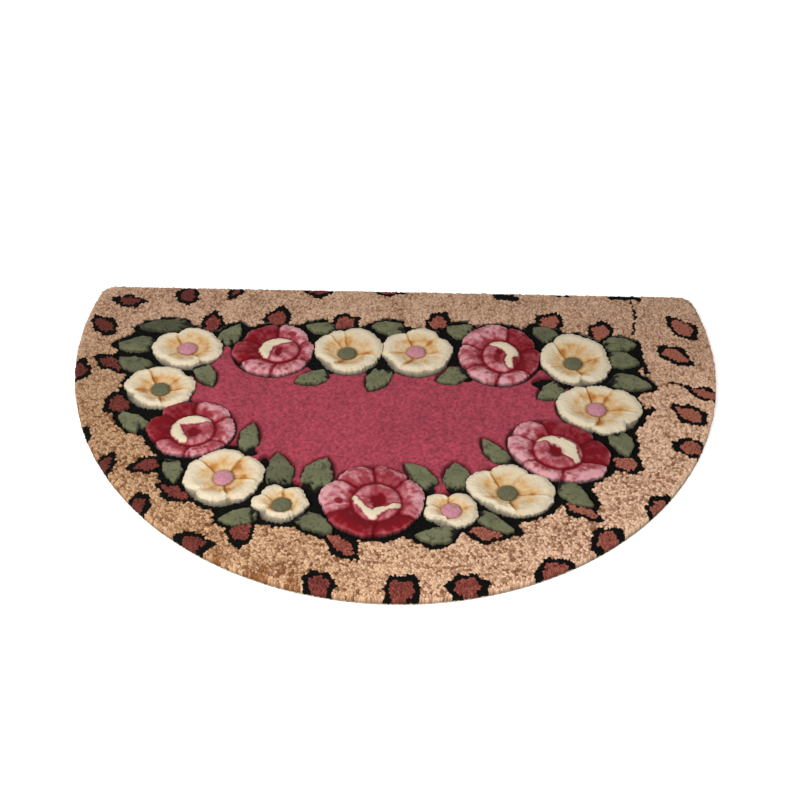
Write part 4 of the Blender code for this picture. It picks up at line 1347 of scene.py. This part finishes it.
class DOORMAT_OT_field(bpy.types.Operator):
    """Shear the raspberry field and clip a groove round each motif"""

    bl_idname = "doormat.field"
    bl_label = "Raspberry field"

    def execute(self, context):
        sizes, yarns = chosen(context)
        low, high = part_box("field_pile")
        along = np.arange(low.x - FIELD_SPARE, high.x + FIELD_SPARE, sizes.field_pitch)
        up = np.arange(low.y - FIELD_SPARE, high.y + FIELD_SPARE, sizes.field_pitch)
        grid_x, grid_y = np.meshgrid(along, up)
        x, y = grid_x.ravel(), grid_y.ravel()
        plan = Plan(x, y)
        depth = np.minimum(plan.motif - MOTIF_CLEARANCE, -plan.field)
        kept = (depth > -FIELD_UNDER).reshape(grid_x.shape)
        row, column = np.nonzero(kept[:-1, :-1] & kept[1:, :-1] & kept[:-1, 1:] & kept[1:, 1:])
        wide = len(along)
        corner = row * wide + column
        quads = np.stack([corner, corner + 1, corner + wide + 1, corner + wide], 1)
        used = np.unique(quads)
        place = np.zeros(len(x), np.int64)
        place[used] = np.arange(len(used))
        quads, x, y, depth = place[quads], x[used], y[used], depth[used]
        nap = lumps(x, y, FIELD_NAP)
        wall = rise(depth, *GROOVE_WALL)
        z = sizes.field_top - GROOVE_DEPTH * (1 - wall) + MM * (nap + lumps(x, y, FIELD_SWELL)) * wall
        fleck = lumps(x, y, FIELD_FLECKS) + nap * 0.5
        attributes = {"open": rise(depth, *GROOVE_SHADE), "nap": fleck, "sweep": lumps(x, y, FIELD_SWEEP)}
        flat = np.stack([x, y], 1)
        piece = make_object("field_velvet", np.stack([x, y, z], 1), quads, attributes=attributes, flat=flat)
        finish = Finish("raspberry yarn")
        speckle = VELVET_LIGHT + finish.attribute("nap") * VELVET_NAP
        speckle = speckle + finish.attribute("sweep") * VELVET_SWEEP
        colour = finish.dimmed(yarns.raspberry, speckle + finish.grain(VELVET_FLECK_SIZE) * VELVET_FLECK)
        # Painted shade: the field darkens to the groove colour close to a motif
        finish.paint(finish.mix(finish.attribute("open"), yarns.groove, colour))
        finish.nap(finish.grain(VELVET_BUMP_SIZE), VELVET_BUMP)
        seat(piece, finish, "field_pile")
        return {"FINISHED"}


# The outline of the petals: how round each one is, how wide and deep the notch at a crease is, and how
# much of the room up to a neighbour may be taken
PETAL_ROUND = 0.7
NOTCH_WIDTH = 0.0100
NOTCH_DEEPER = 1.2
NOTCH_POINTED = 1.25
ROOM_SHARE = 0.5
FLOWER_SEED = 100
ROSE_SEED = 5000


def toothed(reach, table, seed):
    """An outline with the teeth and the gentle wave of clipped yarn."""

    def found(turn):
        smooth = reach(turn)
        run = turn * smooth.mean()
        return smooth + MM * lumps(run, run * 0, table, seed)

    return found


def petal_reach(motif, seed):
    """The edge of a flower or rose: fuller petals, notches and teeth on its ellipse, clear of others."""
    bloom = motif.bloom
    others = [plain_outline(other) for other in BLOOMS if other is not bloom]
    turns = np.array([crease.turn for crease in motif.creases])
    petal_width = (np.roll(turns, -1) - turns) % 360

    def found(turn):
        smooth = edge_reach(bloom, turn)
        past = np.stack([(np.degrees(turn) - crease.turn) % 360 for crease in motif.creases])
        number = past.argmin(0)
        across = past.min(0) / petal_width[number]
        fuller = np.array([crease.reach for crease in motif.creases])[number]
        wanted = smooth + MM * fuller * np.sin(math.pi * across) ** PETAL_ROUND
        for crease, gap in zip(motif.creases, past):
            run = np.radians((gap + 180) % 360 - 180) * smooth
            notch = np.exp(-np.abs(run / NOTCH_WIDTH) ** NOTCH_POINTED)
            wanted = wanted - NOTCH_DEEPER * MM * crease.notch * notch
        run = turn * smooth.mean()
        wanted = wanted + MM * lumps(run, run * 0, PETAL_TEETH, seed)
        room = np.maximum(0, clear_reach(others, heart_of(bloom), turn) - smooth)
        return np.minimum(wanted, smooth + ROOM_SHARE * room)

    return found


def stroke_gap(stroke, x, y):
    """How far each point is outside a stroke of yarn, below zero inside it."""
    nearest = np.full(x.shape, FAR)
    for here, there in zip(stroke, stroke[1:]):
        edge_x, edge_y = (there.x - here.x) * MM, (there.y - here.y) * MM
        from_x, from_y = x - here.x * MM, y - here.y * MM
        along = np.clip((from_x * edge_x + from_y * edge_y) / (edge_x**2 + edge_y**2), 0, 1)
        half = (here.width + (there.width - here.width) * along) * MM / 2
        nearest = np.minimum(nearest, np.hypot(from_x - along * edge_x, from_y - along * edge_y) - half)
    return nearest


# What a carving is made of: each term is an amount of one feature, brought in from the share of the
# radius where it starts to the share where it is full. Reliefs are in millimetres
Term = namedtuple("Term", "feature amount start full", defaults=(None, None))
FLOWER_CUTS = rows(Term, ("slit", 0.45), ("under", 0.42))
FLOWER_RELIEF = rows(
    Term, ("ridge", 0.7, 1.0, 0.75), ("crown", 0.7, 0.3, 0.8), ("folds", 0.4, 0.0, 0.3), ("sheared", 1.5),
)
# Warmth of the cream: honey and amber yarn, with painted amber shadow on the lower petal beside a lap and a
# paler painted highlight on the ridge of the upper petal
FLOWER_WARMTH = rows(
    Term, ("all", 0.05), ("honey", 1.0), ("all", 0.10, 0.7, 0.2), ("all", 0.52, 0.15, 0.0),
    ("all", -0.10, 0.6, 0.85), ("blot", 0.07, 0.2, 0.8), ("slit", 0.55), ("stain", 0.42), ("ridge", -0.16),
)
# Painted shade in the slits, under a lap, round the eye and in low pleats and blots, with painted highlight
# (negative amounts) on the ridge and the crest of the rim
FLOWER_SHADE = rows(
    Term, ("slit", 0.34), ("under", 0.10), ("all", 0.80, 0.13, -0.02), ("low_pleat", -0.12, 0.8, 0.4),
    ("ridge", -0.10), ("low_blot", -0.07, 0.3, 0.8), ("crest", -0.10, 1.0, 0.9),
)
ROSE_CUTS = rows(Term, ("crease", 0.42, 0.0, 0.15), ("fold", 0.26, 0.0, 0.15))
ROSE_RELIEF = rows(Term, ("sheared", 1.3), ("stroke", 0.5), ("moat", -0.9), ("sunk", -2.0))
PALE_PETAL = rows(Term, ("all", 0.72), ("all", -0.44, 0.03, 0.32), ("all", -0.24, 0.35, 0.80), ("fold", 0.10))
DEEP_PETAL = rows(Term, ("all", 1.0), ("all", -0.10, 0.55, 0.8), ("all", -0.26, 0.84, 0.98))
PETAL_MARKS = rows(Term, ("mottle", 0.24), ("deep_mottle", -0.10), ("streak", 0.12), ("crease", 0.70))
CUP_TONE = rows(Term, ("all", 0.34), ("all", 0.16, -0.1, -0.7), ("mottle", 0.16), ("streak", 0.08))
# Painted shade in the ring round the cup, the creases and folds, the sunk hollow, the moats, and on deep
# petals towards the cup
ROSE_SHADE = rows(
    Term, ("ring", 0.42), ("crease", 0.34), ("fold", 0.10), ("sunk", 0.35), ("moat", 0.12),
    ("deep", 0.30, 0.75, 0.35),
)
MOAT_DARKER = 0.35
RING_DARKER = 0.8


def total(terms, features, share):
    """The sum of a table's terms at each share of the radius."""
    found = 0
    for term in terms:
        part = term.amount * features[term.feature]
        found = found + (part if term.start is None else part * rise(share, term.start, term.full))
    return found


# The lap of one petal over the next, in millimetres from the crease: the slit is a share of the crease's
# width, the lower petal dips on one side, and the upper one has a ridge on the other
SLIT = 0.75
UNDER = Fade(0.6, -1.2)
UNDER_WIDTH = 6.5
RIDGE_PLACE = 3.2
RIDGE_WIDTH = 2.8
RIDGE_RISE = Fade(0.1, 0.4)
BESIDE_WIDTH = 8
CREASE_START = Fade(-0.05, 0.12)
CREASE_FADE = Fade(0.5, 1.0)
CREASE_LESS = 0.75
CREST = Fade(0.55, 0.78)
FOLDS_END = Fade(0.95, 0.5)
HONEY_STREAK = 0.12
HONEY_BLOT = 0.22
HONEY_BESIDE = 0.34
HONEY_WIDER = 0.3
HONEY_WANDER = 0.07
# The painted amber shadow on the lower petal beside a lap, and how much the blots change it
LAP_SHADOW = 0.8
LAP_SHADOW_BLOT = 0.4


class DOORMAT_OT_flowers(bpy.types.Operator):
    """Carve the ten cream flowers"""

    bl_idname = "doormat.flowers"
    bl_label = "Cream flowers"

    def execute(self, context):
        sizes, yarns = chosen(context)
        finish = Finish("cream yarn")
        warm = finish.attribute("warm") + (finish.grain(CREAM_PILE.fleck_size) - 0.5) * CREAM_FLECK
        colour = finish.ramp(warm, (0.0, yarns.cream), (0.42, yarns.honey), (1.0, yarns.amber))
        # Painted shade and highlight from the mesh, and painted shade down the side of each block
        finish.paint(finish.dimmed(colour, finish.brightness(CREAM_PILE, "shade", -HOLLOW_DARK)))
        finish.nap(finish.grain(NAP_SIZE), CREAM_PILE.nap)
        for index, flower in enumerate(FLOWERS, 1):
            piece = self.carve(f"cream_petals_{index}", flower, sizes, FLOWER_SEED * index)
            seat(piece, finish, f"cream_flower_{index}")
        return {"FINISHED"}

    def carve(self, name, flower, sizes, seed):
        """One flower: a dish of petals, each lapping over the next at a crease that is deep at the eye."""
        bloom, dish = flower.bloom, flower.dish
        reach = petal_reach(flower, seed)
        carving = Carving(heart_of(bloom), reach, FLOWER_SHARES, sizes.motif_pitch, dish.eye, bloom)
        share = carving.share
        number, nearest, run = carving.petals(flower.creases)
        strength = np.array([crease.strength for crease in flower.creases])[nearest]
        upper = np.where(np.sin(np.radians([crease.turn for crease in flower.creases])) > 0, 1.0, -1.0)
        over = run * upper[nearest] + MM * carving.lumps(LAP_WAVE, seed)
        fade = strength * rise(share, *CREASE_START) * (1 - CREASE_LESS * rise(share, *CREASE_FADE))
        pleat = carving.streaks(PLEAT, number, seed)
        streak = carving.streaks(FLOWER_STREAK, number, seed)
        blot = carving.lumps(BLOT, seed)
        under = rise(over / MM, *UNDER) * bell(over, UNDER_WIDTH * MM) * fade
        patchy = dish.strength + HONEY_STREAK * streak + HONEY_BLOT * blot + carving.lumps(PATCHY, seed)
        patchy = patchy + HONEY_BESIDE * bell(over, BESIDE_WIDTH * MM) * strength
        ring = bell(share - dish.middle - HONEY_WANDER * blot, dish.spread * (1 + HONEY_WIDER * streak))
        features = {
            "all": 1.0,
            "slit": bell(over, SLIT * sizes.crease_width) * fade,
            "under": under,
            "ridge": bell(over - RIDGE_PLACE * MM, RIDGE_WIDTH * MM) * strength * rise(share, *RIDGE_RISE),
            "crown": carving.streaks(CROWN, number, seed),
            "folds": pleat * rise(share, *FOLDS_END),
            "sheared": carving.lumps(SHEARED, seed + 3),
            "honey": ring * np.maximum(0, patchy),
            "blot": blot,
            # Painted amber shadow on the lower petal beside a lap
            "stain": under * (LAP_SHADOW + LAP_SHADOW_BLOT * blot),
            "low_pleat": np.minimum(0, pleat),
            "low_blot": np.minimum(0, blot),
            "crest": rise(share, *CREST),
        }
        height = profile(dish.profile, share) - sizes.crease_depth * total(FLOWER_CUTS, features, share)
        height = height + MM * total(FLOWER_RELIEF, features, share)
        warm, shade = total(FLOWER_WARMTH, features, share), total(FLOWER_SHADE, features, share)
        return carving.build(name, height, {"warm": warm, "shade": shade}, seed + 7)


EYE_SEED = 3000
EYE_SHRINK = 0.97
EYE_SHEARED = 1.6
EYE_PITCH = 0.8


class DOORMAT_OT_eyes(bpy.types.Operator):
    """Fit the pink and green eyes of the flowers"""

    bl_idname = "doormat.eyes"
    bl_label = "Flower eyes"

    def execute(self, context):
        sizes, yarns = chosen(context)
        finishes = {key: self.eye_finish(f"{key} yarn", getattr(yarns, key)) for key in ("pink", "green")}
        for index, flower in enumerate(FLOWERS, 1):
            seed = EYE_SEED + 10 * index
            radius = flower.dish.eye * EYE_SHRINK
            reach = toothed(lambda turn, radius=radius: np.full(len(turn), radius), EYE_TEETH, seed)
            carving = Carving(heart_of(flower.bloom), reach, EYE_SHARES, sizes.motif_pitch * EYE_PITCH)
            height = profile(EYE_PROFILE, carving.share) + EYE_SHEARED * MM * carving.lumps(SHEARED, seed + 2)
            attributes = {"tone": carving.lumps(EYE_TONE, seed)}
            piece = carving.build(f"eye_button_{index}", height, attributes, seed + 5, EYE_FOOT, EYE_RAGGED)
            seat(piece, finishes[flower.eye], f"flower_eye_{index}")
        return {"FINISHED"}

    def eye_finish(self, name, yarn):
        """Speckled yarn of one colour."""
        finish = Finish(name)
        finish.paint(finish.dimmed(yarn, finish.brightness(EYE_PILE, "tone", EYE_MOTTLE)))
        finish.nap(finish.grain(NAP_SIZE), EYE_PILE.nap)
        return finish


# A rose's creases and the folds beside them, then the strokes on its cup in millimetres, the moat round
# a stroke, the soft edge of a dark patch and the width of the dark ring round the cup
FOLD_WIDER = 3.4
STROKE_MORE = 0.0013
STROKE_EDGES = Fade(0.9, -0.9)
STROKE_END = Fade(0.03, -0.05)
MOAT_PLACE = 1.5
MOAT_WIDTH = 1.3
MOAT_END = -0.06
PATCH_EDGE = Fade(1.35, 0.75)
PATCH_TORN = 0.005
RING_WIDTH = 0.055


class DOORMAT_OT_roses(bpy.types.Operator):
    """Carve the five roses"""

    bl_idname = "doormat.roses"
    bl_label = "Roses"

    def execute(self, context):
        sizes, yarns = chosen(context)
        finish = Finish("rose yarn", sheen=DULL_SHEEN)
        tone = finish.attribute("tone") + (finish.grain(ROSE_PILE.fleck_size) - 0.5) * ROSE_FLECK
        colour = finish.ramp(tone, (0.0, yarns.rose_pale), (0.5, yarns.rose), (1.0, yarns.rose_deep))
        colour = finish.mix(finish.attribute("cream"), colour, yarns.cream)
        # Painted shade from the mesh and down the side of each block
        finish.paint(finish.dimmed(colour, finish.brightness(ROSE_PILE, "shade", -HOLLOW_DARK)))
        finish.nap(finish.grain(NAP_SIZE), ROSE_PILE.nap)
        for index, rose in enumerate(ROSES, 1):
            piece = self.carve(f"rose_petals_{index}", rose, sizes, ROSE_SEED + FLOWER_SEED * index)
            seat(piece, finish, f"rose_{index}")
        return {"FINISHED"}

    def carve(self, name, rose, sizes, seed):
        """One rose: flat outer petals, a groove, and a cup with strokes of cream round a deep heart."""
        bloom, cup = rose.bloom, rose.cup
        middle = (bloom.heart_x + cup.x, bloom.heart_y + cup.y)
        rim = Bloom(*middle, 2 * cup.across, 2 * cup.deep, cup.tilt, bloom.heart_x, bloom.heart_y)
        heart, reach, pitch = heart_of(bloom), petal_reach(rose, seed), sizes.motif_pitch
        carving = Carving(heart, reach, ROSE_SHARES, pitch, lambda turn: edge_reach(rim, turn), bloom)
        share = carving.share
        number, nearest, run = carving.petals(rose.creases)
        outer = share > 0
        x, y = carving.x - heart[0], carving.y - heart[1]
        strength = np.array([crease.strength for crease in rose.creases])[nearest] * outer
        torn = MM * lumps(x, y, STROKE_EDGE, seed)
        gap = np.min([stroke_gap(stroke, x, y) for stroke in rose.strokes], 0) + torn - STROKE_MORE
        stroke = rise(gap / MM, *STROKE_EDGES) * rise(share, *STROKE_END)
        mottle = lumps(x, y, MOTTLE, seed)
        depth = np.array(rose.depths)[number]
        features = {
            "all": 1.0,
            "crease": bell(run, sizes.crease_width) * strength,
            "fold": bell(run, FOLD_WIDER * sizes.crease_width) * strength,
            "stroke": stroke,
            "moat": bell(gap - MOAT_PLACE * MM, MOAT_WIDTH * MM) * (share < MOAT_END),
            "mottle": mottle,
            "deep_mottle": depth * mottle,
            "streak": carving.streaks(ROSE_STREAK, number, seed),
            "sheared": carving.lumps(SHEARED, seed + 3),
            "ring": bell(share, RING_WIDTH),
            "deep": depth * outer,
        }
        pale, deep = total(PALE_PETAL, features, share), total(DEEP_PETAL, features, share)
        petal = pale + (deep - pale) * depth + total(PETAL_MARKS, features, share)
        tone = np.where(outer, petal, total(CUP_TONE, features, share)) + MOAT_DARKER * features["moat"]
        cream = stroke
        for patch in rose.patches:
            half_across, half_deep = patch.across * MM / 2, patch.deep * MM / 2
            size = np.hypot((x - patch.x * MM) / half_across, (y - patch.y * MM) / half_deep)
            inside = rise(size + torn / PATCH_TORN, *PATCH_EDGE)
            tone = tone + (patch.tone - tone) * inside
            cream = cream * (1 - inside)
            # The first patch is the hollow of the cup, and only it is sunk
            features.setdefault("sunk", inside)
        height = profile(ROSE_PROFILE, share) - sizes.crease_depth * total(ROSE_CUTS, features, share)
        height = height + MM * total(ROSE_RELIEF, features, share)
        tone = tone + RING_DARKER * features["ring"]
        attributes = {"tone": tone, "cream": cream, "shade": total(ROSE_SHADE, features, share)}
        return carving.build(name, height, attributes, seed + 10)


LEAF_SEED = 8000
LEAF_SHEARED = 1.4
BLACK_END = Fade(0.04, -0.04)
BLACK_TORN = 0.13
BLACK_LOWER = 3.2
FLECK_RISE = Fade(0.35, 0.8)
FLECK_DARK = 0.45


class DOORMAT_OT_leaves(bpy.types.Operator):
    """Clip the thirty leaves"""

    bl_idname = "doormat.leaves"
    bl_label = "Leaves"

    def execute(self, context):
        sizes, yarns = chosen(context)
        finish = Finish("sage yarn")
        # Leaves that lie in the shade are painted darker, and the side of each block has painted shade
        shade = finish.brightness(LEAF_PILE, "tone", LEAF_MOTTLE) * finish.attribute("shade")
        colour = finish.dimmed(yarns.sage, shade)
        finish.paint(finish.mix(finish.attribute("black"), colour, yarns.black))
        finish.nap(finish.grain(NAP_SIZE), LEAF_PILE.nap)
        edges = [
            bloom_outline(motif.bloom, petal_reach(motif, start + FLOWER_SEED * index), PETAL_POINTS)
            for start, motifs in ((0, FLOWERS), (ROSE_SEED, ROSES))
            for index, motif in enumerate(motifs, 1)
        ]
        for index, leaf in enumerate(LEAVES, 1):
            piece = self.clip(f"leaf_pile_{index}", leaf, edges, sizes, LEAF_SEED + 20 * index)
            seat(piece, finish, f"leaf_{index}")
        return {"FINISHED"}

    def clip(self, name, leaf, edges, sizes, seed):
        """One leaf, clear of the flowers and roses beside it and black at its blunt end."""
        middle = leaf_outline(leaf).mean(0)

        def plain(turn):
            return np.minimum(ray_reach(clipped_leaf(leaf), middle, turn), clear_reach(edges, middle, turn))

        carving = Carving(middle, toothed(plain, LEAF_TEETH, seed), LEAF_SHARES, sizes.motif_pitch)
        base, length = leaf_line(leaf)
        along = ((carving.x - base[0]) * length[0] + (carving.y - base[1]) * length[1]) / (length @ length)
        black = rise(along + BLACK_TORN * carving.lumps(LEAF_BASE, seed), *BLACK_END)
        height = profile(LEAF_PROFILE, carving.share) - BLACK_LOWER * MM * black
        height = height + LEAF_SHEARED * MM * carving.lumps(SHEARED, seed + 2)
        shade = leaf.light * (1 - FLECK_DARK * rise(carving.lumps(LEAF_FLECKS, seed), *FLECK_RISE))
        attributes = {"tone": carving.lumps(LEAF_TONE, seed), "black": black, "shade": shade}
        return carving.build(name, height, attributes, seed + 6)


WHITE = (1.0, 1.0, 1.0, 1.0)
FLOOR_HALF = 30.0
FLOOR_COLOUR = (0.93, 0.93, 0.92, 1.0)
FLOOR_LIGHT = (1.0, 1.0, 0.99, 1.0)
KEY_PLACE = (-0.60, -1.05, 1.15)
KEY_SIZE = 1.0
SENSOR = 36.0


class DOORMAT_OT_studio(bpy.types.Operator):
    """Set up the pale floor, the soft light and the camera"""

    bl_idname = "doormat.studio"
    bl_label = "Studio"

    def execute(self, context):
        studio = context.scene.doormat_studio
        self.lay_floor(studio)
        self.hang_light(context, studio)
        world = bpy.data.worlds.new("white surroundings")
        world.use_nodes = True
        world.node_tree.nodes["Background"].inputs["Color"].default_value = WHITE
        world.node_tree.nodes["Background"].inputs["Strength"].default_value = studio.sky
        context.scene.world = world
        context.scene.view_settings.view_transform = "Standard"
        self.set_camera(context, studio)
        return {"FINISHED"}

    def lay_floor(self, studio):
        """A wide pale floor under the mat."""
        points = [(x * FLOOR_HALF, y * FLOOR_HALF, 0) for x, y in ((-1, -1), (1, -1), (1, 1), (-1, 1))]
        floor = make_object("studio_floor", points, [(0, 1, 2, 3)], smooth=False)
        finish = Finish("pale floor", roughness=0.8, sheen=0.0)
        finish.surface.inputs["Base Color"].default_value = FLOOR_COLOUR
        finish.surface.inputs["Emission Color"].default_value = FLOOR_LIGHT
        finish.surface.inputs["Emission Strength"].default_value = studio.floor_glow
        floor.data.materials.append(finish.material)

    def hang_light(self, context, studio):
        """A soft square light that faces the mat."""
        light = bpy.data.lights.new("key light", "AREA")
        light.energy = studio.key_power
        light.size = KEY_SIZE
        lamp = bpy.data.objects.new("key light", light)
        lamp.location = KEY_PLACE
        lamp.rotation_euler = (-Vector(KEY_PLACE)).to_track_quat("-Z", "Y").to_euler()
        context.scene.collection.objects.link(lamp)

    def set_camera(self, context, studio):
        """The camera at the angle of the photograph."""
        over, above = studio.azimuth, studio.elevation
        back = Vector((math.sin(over) * math.cos(above), -math.cos(over) * math.cos(above), math.sin(above)))
        right = (-back).cross(Vector((0, 0, 1))).normalized()
        up = right.cross(-back)
        across = math.cos(studio.roll) * right + math.sin(studio.roll) * up
        upright = math.cos(studio.roll) * up - math.sin(studio.roll) * right
        camera = bpy.data.cameras.new("camera")
        camera.sensor_width = SENSOR
        camera.lens = studio.lens
        camera.dof.use_dof = False
        holder = bpy.data.objects.new("camera", camera)
        turned = Matrix((across, upright, back)).transposed().to_4x4()
        holder.matrix_world = Matrix.Translation(Vector(studio.target) + back * studio.distance) @ turned
        context.scene.collection.objects.link(holder)
        context.scene.camera = holder


class DOORMAT_PT_panel(bpy.types.Panel):
    """Lists the mat's pieces, sizes and yarns"""

    bl_idname = "DOORMAT_PT_panel"
    bl_label = "Doormat"
    bl_space_type = "VIEW_3D"
    bl_region_type = "UI"
    bl_category = "Doormat"

    def draw(self, context):
        for maker in MAKERS:
            self.layout.operator(maker.bl_idname)
        for group in (*chosen(context), context.scene.doormat_studio):
            box = self.layout.box()
            for key in group.bl_rna.properties.keys():
                if key not in ("rna_type", "name"):
                    box.prop(group, key)


GROUPS = {"doormat_sizes": DoormatSizes, "doormat_yarns": DoormatYarns, "doormat_studio": DoormatStudio}
MAKERS = (
    DOORMAT_OT_backing, DOORMAT_OT_ground, DOORMAT_OT_wreath, DOORMAT_OT_field, DOORMAT_OT_flowers,
    DOORMAT_OT_eyes, DOORMAT_OT_roses, DOORMAT_OT_leaves, DOORMAT_OT_studio,
)
CLASSES = (*GROUPS.values(), *MAKERS, DOORMAT_PT_panel)


def register():
    """Add the classes and their properties to Blender."""
    for kind in CLASSES:
        bpy.utils.register_class(kind)
    for key, group in GROUPS.items():
        setattr(bpy.types.Scene, key, PointerProperty(type=group))


def unregister():
    """Take them out again."""
    for key in GROUPS:
        delattr(bpy.types.Scene, key)
    for kind in reversed(CLASSES):
        bpy.utils.unregister_class(kind)


def declare_cloth():
    """Work out the area of the mat's plan, which nothing uses."""
    x, y = mat_outline().T
    area = abs(np.sum(x * np.roll(y, -1) - np.roll(x, -1) * y)) / 2


def main():
    """Dress the mat from the backing up."""
    register()
    bpy.ops.doormat.backing()
    bpy.ops.doormat.ground()
    bpy.ops.doormat.wreath()
    bpy.ops.doormat.field()
    bpy.ops.doormat.flowers()
    bpy.ops.doormat.eyes()
    bpy.ops.doormat.roses()
    bpy.ops.doormat.leaves()
    bpy.ops.doormat.studio()
    declare_cloth()


if __name__ == "__main__":
    main()
